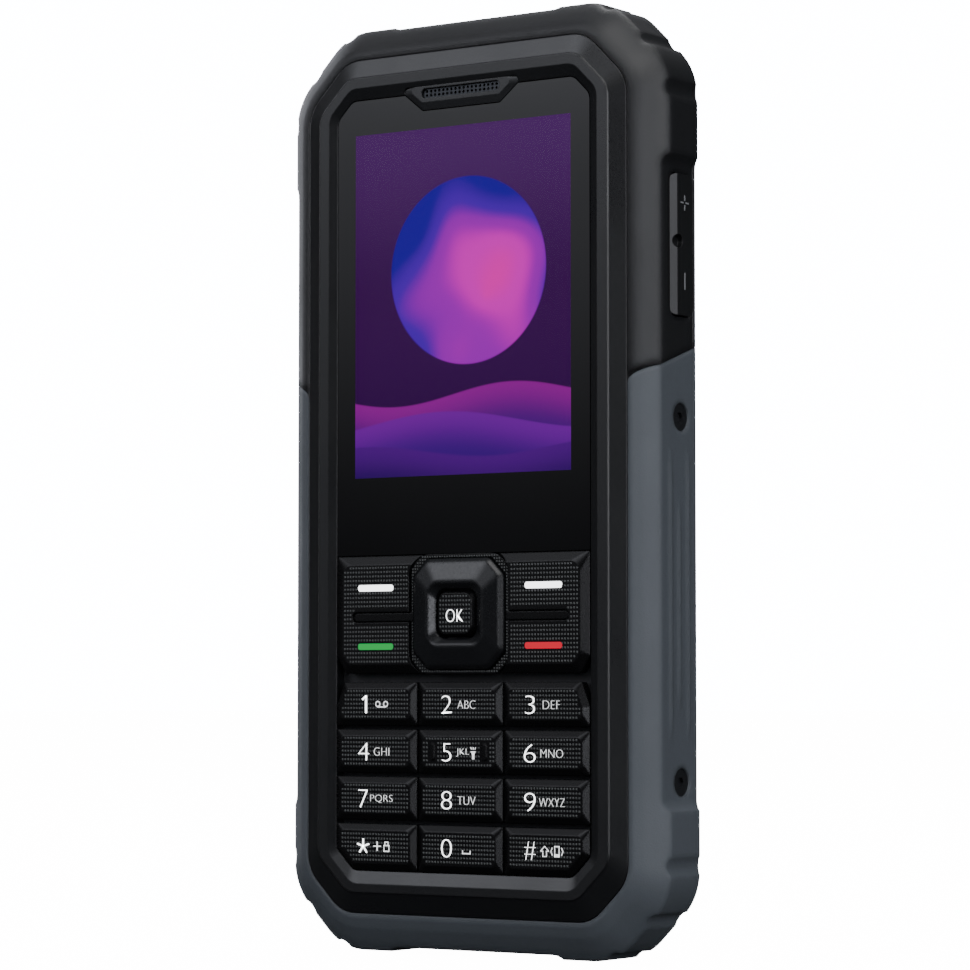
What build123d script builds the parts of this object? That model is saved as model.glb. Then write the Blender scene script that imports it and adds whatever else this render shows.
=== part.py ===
"""Rugged bar telephone with a keypad under a small colour display, in millimetres.

The telephone stands upright: +X is to the right of the person who looks at the display, +Z runs from the
lower edge to the top edge, and the display faces -Y. The origin is on the standing surface, midway across
the width and midway through the greatest depth. Depths are measured backwards from the face of the glass.
"""

from build123d import *

import os
from collections import namedtuple
from math import cos, hypot, radians, sin, sqrt, tan

# Window in the front, which holds the glass above and the keys below
WINDOW_WIDTH = 43.1
GLASS_HEIGHT = 65.0
GLASS_THICK = 1.0
GLASS_GAP = 0.12
# Bands round the window, each from the inside outwards: at the sides, along the bottom and along the top
SIDE_BANDS = {"chamfer": 1.3, "rim": 1.8, "slope": 2.45, "shoulder": 4.75}
BOTTOM_BANDS = {"chamfer": 1.8, "rim": 1.35, "slope": 2.9, "shoulder": 5.35}
TOP_BANDS = {"chamfer": 1.7, "rim": 1.55, "slope": 2.7, "shoulder": 4.65}
# Cut corners: the length of the cut along each edge, at the bottom and at the top
WINDOW_CUT = (3.0, 2.65)
RIM_INNER_CUT = (4.25, 3.85)
RIM_OUTER_CUT = (5.2, 5.1)
SEAM_CUT = (5.95, 6.75)
BODY_CUT = (8.7, 9.45)
# Corner rounding of the same outlines
WINDOW_ROUND = 2.0
RIM_INNER_ROUND = 2.6
RIM_OUTER_ROUND = 3.4
SEAM_ROUND = 5.5
BODY_ROUND = 9.0
# Half of the turn of the outline at either end of a cut corner, in degrees
CORNER_TURN = 22.5
# Depths of the outside
RIM_PROUD = 0.4
RIM_EDGE = 0.15
SEAM_DEPTH = 0.62
SIDE_FRONT_DEPTH = 3.76
SIDE_REAR_DEPTH = 11.2
REAR_SEAM_DEPTH = 14.35
REAR_FACE_DEPTH = 15.25
BACK_DEPTH = 15.5
REAR_FACE_INSET = 6.6
# Shoulder curve, as shares of its width inwards and of its height
SHOULDER_CURVE = ((0.0, 0.0), (0.27, 0.35), (0.6, 0.71), (1.0, 1.0))
# Bumpers at the four corners, and the flats between them
SIDE_FLAT_DEPTH = 0.95
SIDE_FLAT_ENDS = (20.2, 109.8)
BOTTOM_FLAT_DEPTH = 0.6
TOP_FLAT_DEPTH = 0.3
END_FLAT_HALF = 15.0
FLAT_END_RADIUS = 1.8
NOTCH_RADIUS = 1.9
NOTCH_DEPTH = 0.55
NOTCH_RISE = (4.3, 3.25)
NOTCH_SHARE = (0.34, 0.39)
# Walls and joints between the shells
SHELL_FIT = 0.1
SKIRT_WALL = 1.2
SKIRT_EDGE = 1.3
HOUSING_WALL = 1.2
HOLLOW_INSET = 1.0
HOLLOW_TAPER = 1.4
REAR_WALL = 2.05
# Top edge of the lower shell: its height at mid depth, its rise towards the back and its rounded corner
SHELL_EDGE_Z = 82.2
SHELL_EDGE_RISE = 0.335
SHELL_EDGE_RADIUS = 2.4
# Crests along the sides of the lower shell, as depth, lower end and upper end
CREST_HEIGHT = 0.28
CREST_WIDTH = 0.9
CREST_ENDS = {5.43: (25.7, 73.7), 7.6: (29.7, 66.7), 9.9: (25.7, 73.7)}
CREST_TAPER = 8.0
# Number keys
KEY_PITCH = 6.62
KEY_HEIGHT = 6.1
LOW_KEY_HEIGHT = 6.5
KEY_COLUMN_HALF = 7.26
KEY_GAP = 0.25
KEY_EDGE_GAP = 0.15
KEY_PROUD = 0.6
KEY_BEVEL = 0.9
KEY_BEVEL_DROP = 0.5
KEY_SKIRT = 1.25
KEY_TRAVEL = 0.4
KEY_CORNER = 0.3
KEY_TOP_CORNER = 0.9
HIGH_KEY_CUT = (1.3, 3.4)
STEM_RADIUS = 1.2
STEM_GAP = 0.05
MARKER_BAR = (0.75, 2.3, 0.15)
# Rocker keys beside the navigation pad
NAV_GAP = 1.2
NAV_HEIGHT = 16.55
NAV_CUT = (1.5, 2.4)
WING_BEVEL = 1.25
WING_BEVEL_DROP = 0.6
WING_TOP_CORNER = 1.6
WING_STEM_X = 13.8
WING_STEM_Z = 5.2
BAR_HEIGHT = 1.15
BAR_DROP = 0.35
BAR_REACH = 18.2
BAR_SINK = 0.2
BAR_CLEAR = 0.15
# Navigation pad
FRAME_HALF_WIDTH = 8.3
FRAME_HALF_HEIGHT = 8.35
FRAME_CORNER = 3.2
FRAME_CLEAR = 0.2
FRAME_PROUD = 0.35
FRAME_RIM = 0.5
RING_CLEAR = 0.15
RING_CUT = 2.4
RING_ROUND = 1.4
RING_BASE_DEPTH = 0.45
RING_PROUD = 1.7
RING_EDGE_RISE = 0.75
RING_BEVEL = 0.55
RING_BEVEL_RISE = 0.45
RING_EYE = (8.95, 8.5)
RING_EYE_ROUND = 1.5
RING_CREST = 0.45
WEB_HALF = 5.4
WEB_THICK = 0.7
WEB_TILT = 2.4
PAD_NUB_RADIUS = 0.6
PAD_NUB_PLACE = 6.6
PAD_NUB_CLEAR = 0.4
OK_TOP = (5.6, 5.7)
OK_BASE = (6.5, 6.5)
OK_CORNER = 1.3
OK_CLEAR = 0.22
OK_PROUD = 1.5
OK_BEVEL_DROP = 0.9
# Keypad layers
MAT_DEPTH = 1.75
MAT_THICK = 0.6
MAT_LAP = 1.75
MAT_CLEAR = 0.1
MAT_HOLE_CLEAR = 0.35
MAT_RIB = 0.8
KEY_OPENING_LAP = 0.6
DOME_RADIUS = 2.0
DOME_HEIGHT = 0.35
# Display
ACTIVE_WIDTH = 36.72
ACTIVE_HEIGHT = 48.96
ACTIVE_TOP = 5.1
LEDGE_THICK = 0.6
LEDGE_MARGIN = 1.25
PANEL_SIDE = 1.6
PANEL_LOW = 2.7
PANEL_HIGH = 1.6
PANEL_THICK = 1.8
TRAY_THICK = 0.6
TRAY_LIP = 0.4
PANEL_FIT = 0.1
# Earpiece
TAB_HALF = 6.55
TAB_DROP = 2.45
TAB_SLOPE = 1.25
TAB_CHAMFER = 1.1
TAB_PROUD = 0.22
TAB_BELOW_RIM = 0.75
SLOT_WIDTH = 13.4
SLOT_HEIGHT = 1.4
SLOT_ABOVE_TAB = 0.55
GRILLE_DEPTH = 0.15
GRILLE_THICK = 0.3
GRILLE_PITCH = 0.7
GRILLE_HOLE = 0.42
RECEIVER_WIDTH = 15.0
RECEIVER_HEIGHT = 5.6
RECEIVER_DROP = 1.0
# Main board
BOARD_INSET = 1.4
BOARD_THICK = 1.0
SHIELD_WIDTH = 34.0
SHIELD_ENDS = (84.0, 113.0)
SHIELD_THICK = 1.8
SIM_PLACE = (8.0, 50.0)
SIM_SIZE = (14.0, 13.0, 2.4)
MICROPHONE_PLACE = (9.0, 8.6)
MICROPHONE_SIZE = (3.8, 3.0, 1.2)
MICROPHONE_HOLE = 0.5
ANTENNA_SIZE = (17.0, 5.5, 2.8)
ANTENNA_PLACE = (-12.5, 119.5)
# Battery and its bay
BATTERY_WIDTH = 40.0
BATTERY_HEIGHT = 54.0
BATTERY_THICK = 5.3
BATTERY_LOW = 22.8
BATTERY_CLEAR = 0.3
BATTERY_ROUND = 1.2
BAY_FLOOR = 0.8
BAY_WALL = 1.0
CONTACT_ROOM = 2.2
CONTACT_WIDTH = 1.2
CONTACT_PITCH = 2.6
CONTACT_COUNT = 3
CONTACT_THICK = 0.5
CONTACT_GAP = 0.15
CONTACT_RISE = 2.6
# Battery cover
COVER_THICK = 1.2
COVER_LAP = 1.3
COVER_LOW = 13.5
COVER_CLEAR = 0.15
COVER_ROUND = 2.5
SEAL_WIDTH = 0.6
SEAL_THICK = 0.5
COIN_SCREW_PLACE = (12.0, 18.0)
COIN_HEAD_RADIUS = 2.3
COIN_HEAD_THICK = 0.7
COIN_SHANK_RADIUS = 1.0
COIN_SHANK_LENGTH = 3.4
COIN_SLOT = 0.7
COIN_BOSS_WALL = 0.9
SCREW_CLEAR = 0.1
# Screws that hold the two housings together
HOUSING_SCREW_X = 23.6
HOUSING_SCREW_Z = (14.0, 66.0, 116.0)
HOUSING_BOSS_RADIUS = 1.7
HOUSING_HEAD_RADIUS = 1.4
HOUSING_HEAD_THICK = 0.8
HOUSING_SHANK_RADIUS = 0.8
HOUSING_SCREW_END = 6.5
# Screws in the sides of the lower shell
SIDE_SCREW_Z = (24.3, 73.9)
SIDE_SCREW_DEPTH = 8.15
SIDE_HEAD_RADIUS = 1.85
SIDE_HEAD_THICK = 0.55
SIDE_HEAD_SINK = 0.2
SIDE_SHANK_RADIUS = 0.8
SIDE_SCREW_LENGTH = 4.6
SIDE_BOSS_RADIUS = 2.0
SIDE_BOSS_LENGTH = 2.6
SIDE_SOCKET = 0.75
SIDE_SOCKET_DEPTH = 0.45
# Volume key on the right side
VOLUME_LENGTH = 19.4
VOLUME_WIDTH = 5.1
VOLUME_Z = 97.45
VOLUME_DEPTH = 8.12
VOLUME_PROUD = 0.45
VOLUME_THICK = 1.9
VOLUME_STRIP = 1.1
VOLUME_STRIP_DROP = 0.75
VOLUME_CORNER = 1.1
VOLUME_CLEAR = 0.15
VOLUME_FLOAT = 0.45
VOLUME_NOTCH = 0.95
VOLUME_NOTCH_IN = 1.45
VOLUME_NOTCH_UP = 0.43
VOLUME_NUB_RADIUS = 0.9
VOLUME_NUB_PLACE = 6.0
VOLUME_NUB_LENGTH = 1.35
VOLUME_NUB_CLEAR = 0.35
SWITCH_GAP = 0.4
SWITCH_THICK = 0.9
SWITCH_PLATE = 0.4
SWITCH_SIZE = (3.0, 3.4)
SWITCH_SPAN = 9.6
SWITCH_FOOT = 0.8
# Sockets and their flaps
FLAP_THICK = 1.3
FLAP_CLEAR = 0.15
FLAP_PIN_RADIUS = 0.35
FLAP_PIN_LENGTH = 0.35
FLAP_PLUG_RISE = 0.6
FLAP_PLUG_GAP = 0.35
USB_X = 0.0
USB_OUTER = (8.94, 3.26)
USB_WALL = 0.3
USB_LENGTH = 7.2
USB_TONGUE = (6.6, 0.7)
USB_TONGUE_SHORT = 1.0
USB_FLAP = (14.0, 4.4)
JACK_X = 8.0
JACK_BORE = 1.75
JACK_NOSE = 2.4
JACK_BODY = 5.6
JACK_LENGTH = 12.5
JACK_LEAD = (2.0, 1.0)
JACK_FLAP = (9.5, 4.8)
# Torch at the top edge
TORCH_X = -8.5
TORCH_SIZE = (5.0, 3.0)
TORCH_LED_SIZE = (3.2, 2.6)
# Camera and flash at the rear
CAMERA_Z = 105.0
CAMERA_RING_RADIUS = 5.6
CAMERA_RING_WALL = 1.2
CAMERA_RING_SINK = 0.9
CAMERA_GLASS_THICK = 0.6
CAMERA_HOLE = 3.4
CAMERA_BODY = (8.5, 5.0)
FLASH_DROP = 9.2
FLASH_RADIUS = 1.7
# Loudspeaker at the rear
SPEAKER_Z = 86.8
SPEAKER_SIZE = (15.0, 7.0, 3.0)
SPEAKER_SLOT = (6.0, 0.9)
SPEAKER_SLOT_PITCH = 1.9
SPEAKER_SLOT_COUNT = 3
# Vibration motor
MOTOR_PLACE = (-19.0, 100.0)
MOTOR_RADIUS = 2.0
MOTOR_LENGTH = 7.0
MOTOR_SHAFT_RADIUS = 0.4
MOTOR_SHAFT_LENGTH = 3.2
WEIGHT_RADIUS = 2.3
WEIGHT_LENGTH = 2.4
WEIGHT_GAP = 0.3
# Seal between the two housings
HOUSING_SEAL_INSET = 3.9
HOUSING_SEAL_WIDTH = 0.9
HOUSING_SEAL_THICK = 0.6

# Small fits and roundings
THREAD_CLEAR = 0.05
FLAP_PIN_CLEAR = 0.05
FLAP_CORNER = 0.6
FLAP_PLUG_FLAT = 0.05
USB_FIT = 0.1
USB_FLAT = 0.05
JACK_FIT = 0.1
TORCH_FIT = 0.08
TORCH_ROUND = 0.9
TORCH_GAP = 0.2
TORCH_LENS_LENGTH = 4.0
TAB_ROUND = 0.6
GRILLE_FIT = 0.05
GRILLE_COLUMNS = 18
GRILLE_ROW_SHARE = 0.8
RECEIVER_ROUND = 0.8
MARKER_PLACE = 4.4
RING_CREST_CUT = 1.5
RING_EYE_FOOT = 1.1
OK_BACK_GAP = 0.25
BOARD_NOTCH_CLEAR = 0.2
SHIELD_WALL = 0.3
SHIELD_ROUND = 0.8
SIM_WALL = 0.5
SIM_CARD = 0.9
SIM_WINDOW = 1.0
ANTENNA_ROUND = 0.6
SEAL_EDGE = 0.35
HOUSING_HEAD_SINK = 0.25
COIN_HEAD_SINK = 0.05
MOTOR_FIT = 0.05
CAMERA_FIT = 0.05
CAMERA_RING_BEVEL = 0.2
CAMERA_BARREL_GAP = 0.3
FLASH_FLANGE = 0.7
SPEAKER_ROUND = 1.0
CONTACT_BASE_EDGE = 0.8
COVER_BEVEL = 0.25
NAIL_SLOT = (9.0, 2.0)
SCREW_SOCKET = 0.7
WEIGHT_CUT = 1.6
WEIGHT_HUB = 0.9
WEIGHT_BORE_CLEAR = 0.02

Outline = namedtuple("Outline", "half_width bottom top low_cut high_cut radius")


def y_at(depth):
    """Y of a plane that lies this far behind the face of the glass."""
    return depth - (BACK_DEPTH - RING_PROUD) / 2


def facing(depth):
    """Plane across the telephone at a depth, seen from the front: its normal points at the viewer."""
    return Plane(origin=(0, y_at(depth), 0), x_dir=(1, 0, 0), z_dir=(0, -1, 0))


def beside(x, side=1):
    """Plane along the telephone at this X, with its normal to the right, or to the left for side -1.

    Its own first axis runs to the back and its second one up, or to the front and up for side -1."""
    return Plane(origin=(x, 0, 0), x_dir=(0, side, 0), z_dir=(side, 0, 0))


# Heights of what follows from the sizes above
WINDOW_BOTTOM = sum(BOTTOM_BANDS.values())
LOW_KEY_TOP = WINDOW_BOTTOM + KEY_EDGE_GAP + LOW_KEY_HEIGHT
NAV_BOTTOM = LOW_KEY_TOP + 3 * KEY_PITCH + NAV_GAP
NAV_TOP = NAV_BOTTOM + NAV_HEIGHT
NAV_Z = (NAV_BOTTOM + NAV_TOP) / 2
GLASS_BOTTOM = NAV_TOP + KEY_EDGE_GAP
WINDOW_TOP = GLASS_BOTTOM + GLASS_HEIGHT
ACTIVE_LOW = WINDOW_TOP - ACTIVE_TOP - ACTIVE_HEIGHT
ACTIVE_Z = ACTIVE_LOW + ACTIVE_HEIGHT / 2
PANEL_WIDTH = ACTIVE_WIDTH + 2 * PANEL_SIDE
PANEL_HEIGHT = ACTIVE_HEIGHT + PANEL_LOW + PANEL_HIGH
PANEL_Z = ACTIVE_LOW - PANEL_LOW + PANEL_HEIGHT / 2
TAB_BOTTOM = WINDOW_TOP - TAB_DROP
SLOT_Z = TAB_BOTTOM + TAB_CHAMFER + SLOT_ABOVE_TAB + SLOT_HEIGHT / 2
RECEIVER_Z = SLOT_Z + RECEIVER_HEIGHT / 2 - RECEIVER_DROP - SLOT_HEIGHT / 2

# Depths of what follows from the sizes above
BEZEL_BACK = MAT_DEPTH + MAT_THICK
PANEL_DEPTH = GLASS_THICK + LEDGE_THICK
TRAY_DEPTH = PANEL_DEPTH + PANEL_THICK
BOARD_DEPTH = TRAY_DEPTH + TRAY_THICK
BOARD_BACK = BOARD_DEPTH + BOARD_THICK
DOME_DEPTH = BOARD_DEPTH - DOME_HEIGHT
STEM_END = DOME_DEPTH - KEY_TRAVEL - STEM_GAP
REAR_WALL_DEPTH = REAR_FACE_DEPTH - REAR_WALL
COVER_DEPTH = BACK_DEPTH - COVER_THICK
BATTERY_DEPTH = COVER_DEPTH - BATTERY_CLEAR - BATTERY_THICK
BAY_DEPTH = BATTERY_DEPTH - SHELL_FIT


def band(upto, cut, radius):
    """Outline of the window grown by every band up to and including the named one."""
    names = list(SIDE_BANDS)
    taken = names[: names.index(upto) + 1] if upto else []
    return Outline(
        WINDOW_WIDTH / 2 + sum(SIDE_BANDS[name] for name in taken),
        WINDOW_BOTTOM - sum(BOTTOM_BANDS[name] for name in taken),
        WINDOW_TOP + sum(TOP_BANDS[name] for name in taken),
        cut[0],
        cut[1],
        radius,
    )


WINDOW = band(None, WINDOW_CUT, WINDOW_ROUND)
RIM_INNER = band("chamfer", RIM_INNER_CUT, RIM_INNER_ROUND)
RIM_OUTER = band("rim", RIM_OUTER_CUT, RIM_OUTER_ROUND)
SEAM = band("slope", SEAM_CUT, SEAM_ROUND)
BODY = band("shoulder", BODY_CUT, BODY_ROUND)
SIDE_FACE = BODY.half_width - SIDE_FLAT_DEPTH
BOTTOM_FACE = BODY.bottom + BOTTOM_FLAT_DEPTH
TOP_FACE = BODY.top - TOP_FLAT_DEPTH


def inset(outline, amount):
    """The outline moved inwards by the same amount on every side, its cut corners included."""
    shorter = (2 - sqrt(2)) * amount
    return Outline(
        outline.half_width - amount,
        outline.bottom + amount,
        outline.top - amount,
        outline.low_cut - shorter,
        outline.high_cut - shorter,
        max(outline.radius - amount, outline.radius / 4),
    )


def between(start, end, share):
    """The outline a share of the way from one outline to another."""
    return Outline(*(a + (b - a) * share for a, b in zip(start, end)))


def corners(outline):
    """The eight corners of an outline, anticlockwise from the left end of the bottom edge."""
    w, low, high, cut, top_cut, _ = outline
    return [
        (-w + cut, low),
        (w - cut, low),
        (w, low + cut),
        (w, high - top_cut),
        (w - top_cut, high),
        (-w + top_cut, high),
        (-w, high - top_cut),
        (-w, low + cut),
    ]


def moved_in(points, amounts):
    """Corners of a convex outline, anticlockwise, with each edge moved inwards by its own amount.

    The first amount belongs to the edge between the first two points."""
    moved = []
    count = len(points)
    for index, (x, z) in enumerate(points):
        before_x, before_z = points[index - 1]
        after_x, after_z = points[(index + 1) % count]
        in_x, in_z = x - before_x, z - before_z
        out_x, out_z = after_x - x, after_z - z
        in_length, out_length = hypot(in_x, in_z), hypot(out_x, out_z)
        near, far = amounts[index - 1] * in_length, amounts[index] * out_length
        turn = in_x * out_z - in_z * out_x
        moved.append((x + (near * out_x - far * in_x) / turn, z + (near * out_z - far * in_z) / turn))
    return moved


def rounded_face(points, radius, depth):
    """Face with these corners, each rounded, across the telephone at a depth."""
    with BuildSketch(facing(depth)) as flat:
        with BuildLine():
            FilletPolyline(*points, radius=radius, close=True)
        make_face()
    return flat.sketch


def outline_face(outline, depth):
    """Face of an outline across the telephone at a depth."""
    return rounded_face(corners(outline), outline.radius, depth)


def outline_part(outline, low, high, depth):
    """Face of the part of an outline that lies between two heights, at a depth."""
    with BuildSketch(facing(depth)) as flat:
        with BuildLine():
            FilletPolyline(*corners(outline), radius=outline.radius, close=True)
        make_face()
        with Locations((0, (low + high) / 2)):
            Rectangle(2 * outline.half_width, high - low, mode=Mode.INTERSECT)
    return flat.sketch


def shoulder_faces(outer, outer_depth, inner, inner_depth):
    """Pairs of faces between which the shoulder runs straight, from the side of the body to a seam."""
    faces = [
        outline_face(between(outer, inner, inwards), outer_depth + (inner_depth - outer_depth) * along)
        for inwards, along in SHOULDER_CURVE
    ]
    return list(zip(faces, faces[1:]))


def finish(builder, label):
    """Labels a finished piece and writes it to its own file."""
    builder.part.label = label
    export_step(builder.part, f"parts/{label}.step")


os.makedirs("parts", exist_ok=True)

# Outline with the flats and notches between the bumpers
with BuildSketch(facing(BACK_DEPTH)) as bumper_outline:
    with BuildLine():
        FilletPolyline(*corners(BODY), radius=BODY.radius, close=True)
    make_face()
    flat_reach = 2 * FLAT_END_RADIUS + SIDE_FLAT_DEPTH
    for side in (-1, 1):
        with Locations((side * (SIDE_FACE + flat_reach / 2), sum(SIDE_FLAT_ENDS) / 2)):
            RectangleRounded(
                flat_reach, SIDE_FLAT_ENDS[1] - SIDE_FLAT_ENDS[0], FLAT_END_RADIUS, mode=Mode.SUBTRACT
            )
    for level, out in ((BOTTOM_FACE, -1), (TOP_FACE, 1)):
        with Locations((0, level + out * flat_reach / 2)):
            RectangleRounded(2 * END_FLAT_HALF, flat_reach, FLAT_END_RADIUS, mode=Mode.SUBTRACT)
    notch_lift = NOTCH_RADIUS - NOTCH_DEPTH
    corner_sag = BODY.radius * (1 / cos(radians(CORNER_TURN)) - 1)
    for level, cut, up, rise, share in (
        (BODY.bottom, BODY.low_cut, 1, NOTCH_RISE[0], NOTCH_SHARE[0]),
        (BODY.top, BODY.high_cut, -1, NOTCH_RISE[1], NOTCH_SHARE[1]),
    ):
        notch_centres = [
            (BODY.half_width + notch_lift, level + up * (cut + rise)),
            (
                BODY.half_width - share * cut + notch_lift * sin(radians(45)),
                level + up * (cut * (1 - share) - notch_lift * sin(radians(45))),
            ),
            (
                BODY.half_width - cut + (notch_lift - corner_sag) * sin(radians(CORNER_TURN)),
                level - up * (notch_lift - corner_sag) * cos(radians(CORNER_TURN)),
            ),
        ]
        for side in (-1, 1):
            with Locations(*((side * x, z) for x, z in notch_centres)):
                Circle(NOTCH_RADIUS, mode=Mode.SUBTRACT)

# The whole body as one block, from which each shell is cut
with BuildPart() as envelope:
    extrude(outline_face(BODY, SIDE_REAR_DEPTH), amount=SIDE_REAR_DEPTH - SIDE_FRONT_DEPTH)
    for pair in shoulder_faces(BODY, SIDE_FRONT_DEPTH, SEAM, SEAM_DEPTH):
        loft(pair, ruled=True)
    loft([outline_face(SEAM, SEAM_DEPTH), outline_face(RIM_OUTER, RIM_EDGE - RIM_PROUD)], ruled=True)
    rim_face = outline_face(inset(RIM_OUTER, RIM_EDGE), -RIM_PROUD)
    loft([outline_face(RIM_OUTER, RIM_EDGE - RIM_PROUD), rim_face], ruled=True)
    for pair in shoulder_faces(BODY, SIDE_REAR_DEPTH, SEAM, REAR_SEAM_DEPTH):
        loft(pair, ruled=True)
    rear_face = outline_face(inset(BODY, REAR_FACE_INSET), REAR_FACE_DEPTH)
    loft([outline_face(SEAM, REAR_SEAM_DEPTH), rear_face], ruled=True)
    extrude(bumper_outline.sketch, amount=BACK_DEPTH + RIM_PROUD, mode=Mode.INTERSECT)


def shell_core(wall):
    """What lies inside the lower shell, this far in from the bumpers."""
    side = inset(BODY, wall)
    front, rear = SIDE_FRONT_DEPTH + wall / 2, SIDE_REAR_DEPTH - wall / 2
    front_seam, rear_seam = SEAM_DEPTH + SKIRT_EDGE, REAR_SEAM_DEPTH - SKIRT_EDGE
    with BuildPart() as core:
        extrude(outline_face(side, rear), amount=rear - front)
        for pair in shoulder_faces(side, front, SEAM, front_seam):
            loft(pair, ruled=True)
        for pair in shoulder_faces(side, rear, SEAM, rear_seam):
            loft(pair, ruled=True)
        extrude(outline_face(SEAM, front_seam), amount=front_seam + RIM_PROUD)
        extrude(outline_face(SEAM, BACK_DEPTH), amount=BACK_DEPTH - rear_seam)
    return core.part


def shell_block(wall, raise_edge):
    """What lies outside the core and under the top edge of the lower shell."""
    middle = (SIDE_FRONT_DEPTH + SIDE_REAR_DEPTH) / 2
    edge_z = SHELL_EDGE_Z + raise_edge
    front_z = edge_z + (SEAM_DEPTH - middle) * SHELL_EDGE_RISE
    rear_z = edge_z + (BACK_DEPTH - middle) * SHELL_EDGE_RISE
    low = -BODY.half_width
    with BuildPart() as block:
        with BuildSketch(beside(-BODY.half_width)) as side_view:
            with BuildLine():
                Polyline(
                    (y_at(SEAM_DEPTH), low),
                    (y_at(BACK_DEPTH), low),
                    (y_at(BACK_DEPTH), rear_z),
                    (y_at(SEAM_DEPTH), front_z),
                    close=True,
                )
            make_face()
            fillet(side_view.vertices().group_by(Axis.Y)[-2], SHELL_EDGE_RADIUS)
        extrude(amount=2 * BODY.half_width)
        add(envelope.part, mode=Mode.INTERSECT)
        add(shell_core(wall), mode=Mode.SUBTRACT)
    return block.part


def end_plane(level, out):
    """Plane on the top edge, for out 1, or on the bottom edge, for out -1: its normal points outwards."""
    return Plane(origin=(0, 0, level), x_dir=(1, 0, 0), z_dir=(0, 0, out))


def disc(radius, x, z, back, front):
    """Round bar that runs from one depth to another."""
    with BuildPart() as bar:
        with BuildSketch(facing(back)):
            with Locations((x, z)):
                Circle(radius)
        extrude(amount=back - front)
    return bar.part


def slab(width, height, x, z, back, front, radius=0):
    """Plate that runs from one depth to another, its corners rounded where a radius is given."""
    with BuildPart() as plate:
        with BuildSketch(facing(back)) as outline:
            with Locations((x, z)):
                Rectangle(width, height)
            if radius:
                fillet(outline.vertices(), radius)
        extrude(amount=back - front)
    return plate.part


SKIRT_INSET = SIDE_FLAT_DEPTH + SKIRT_WALL
HOLLOW = inset(BODY, SKIRT_INSET + SHELL_FIT + HOUSING_WALL)
HOLLOW_END = inset(SEAM, HOLLOW_INSET)
PARTING_DEPTH = SIDE_REAR_DEPTH

# Space inside the two housings
with BuildPart() as hollow:
    hollow_front, hollow_rear = BOARD_DEPTH + HOLLOW_TAPER, PARTING_DEPTH - HOLLOW_TAPER
    loft([outline_face(HOLLOW_END, BOARD_DEPTH), outline_face(HOLLOW, hollow_front)], ruled=True)
    extrude(outline_face(HOLLOW, hollow_rear), amount=hollow_rear - hollow_front)
    loft([outline_face(HOLLOW, hollow_rear), outline_face(HOLLOW_END, PARTING_DEPTH)], ruled=True)
    extrude(outline_face(HOLLOW_END, REAR_WALL_DEPTH), amount=REAR_WALL_DEPTH - PARTING_DEPTH)

shell_room = shell_block(SKIRT_INSET + SHELL_FIT, SHELL_FIT)

USB_DEPTH = BOARD_BACK + USB_OUTER[1] / 2
USB_MOUTH = BOTTOM_FACE + FLAP_THICK + FLAP_CLEAR
JACK_DEPTH = BOARD_BACK + JACK_BODY / 2
JACK_MOUTH = TOP_FACE - FLAP_THICK - FLAP_CLEAR
TORCH_DEPTH = BOARD_BACK + TORCH_SIZE[1] / 2 + SHELL_FIT
MICROPHONE_DEPTH = BOARD_BACK + MICROPHONE_SIZE[2] / 2


def flap_axis(x, level, out, size):
    """Where the pins of a flap lie, across and up."""
    return x - size[0] / 2 + FLAP_THICK / 2, level - out * FLAP_THICK / 2


def flap_room(x, depth, level, out, size):
    """Recess for a flap, with the holes for its pins."""
    half = size[1] / 2
    with BuildPart() as room:
        with BuildSketch(end_plane(level, out)):
            with Locations((x, out * y_at(depth))):
                Rectangle(size[0] + 2 * FLAP_CLEAR, size[1] + 2 * FLAP_CLEAR)
        extrude(amount=-FLAP_THICK - FLAP_CLEAR)
        add(
            disc(
                FLAP_PIN_RADIUS + FLAP_PIN_CLEAR,
                *flap_axis(x, level, out, size),
                depth + half + FLAP_PIN_LENGTH + FLAP_CLEAR,
                depth - half - FLAP_PIN_LENGTH - FLAP_CLEAR,
            )
        )
    return room.part


def port_flap(label, x, depth, level, out, size, plug):
    """Rubber flap over a socket: a plate with pins at its left end and a plug on its inner face."""
    half = size[1] / 2
    axis_x, axis_z = flap_axis(x, level, out, size)
    with BuildPart() as flap:
        with BuildSketch(end_plane(level, out)) as plan:
            with Locations((x + FLAP_THICK / 4, out * y_at(depth))):
                Rectangle(size[0] - FLAP_THICK / 2, size[1])
            fillet(plan.vertices().group_by(Axis.X)[-1], FLAP_CORNER)
        extrude(amount=-FLAP_THICK)
        add(disc(FLAP_THICK / 2, axis_x, axis_z, depth + half, depth - half))
        pin_reach = half + FLAP_PIN_LENGTH
        add(disc(FLAP_PIN_RADIUS, axis_x, axis_z, depth + pin_reach, depth - pin_reach))
        with BuildSketch(end_plane(level - out * FLAP_THICK, -out)):
            with Locations((x, -out * y_at(depth))):
                RectangleRounded(*plug, min(plug) / 2 - FLAP_PLUG_FLAT)
        extrude(amount=FLAP_PLUG_RISE + FLAP_CLEAR)
    finish(flap, label)


# Lower shell: a rubber boot over the sides, the bottom edge and the lower corners
def crest(side, depth, low, high):
    """Sharp crest along a side of the lower shell, which runs out at both ends."""
    foot, top = side * (SIDE_FACE - CREST_HEIGHT), side * (SIDE_FACE + CREST_HEIGHT)
    with BuildPart() as ridge:
        with BuildSketch(Plane.XY.offset(low)):
            with BuildLine():
                Polyline(
                    (foot, y_at(depth) - CREST_WIDTH),
                    (top, y_at(depth)),
                    (foot, y_at(depth) + CREST_WIDTH),
                    close=True,
                )
            make_face()
        extrude(amount=high - low)
        with BuildSketch(facing(depth + CREST_WIDTH)):
            with BuildLine():
                Polyline(
                    (foot, low),
                    (top, low + CREST_TAPER),
                    (top, high - CREST_TAPER),
                    (foot, high),
                    close=True,
                )
            make_face()
        extrude(amount=2 * CREST_WIDTH, mode=Mode.INTERSECT)
    return ridge.part


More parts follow.
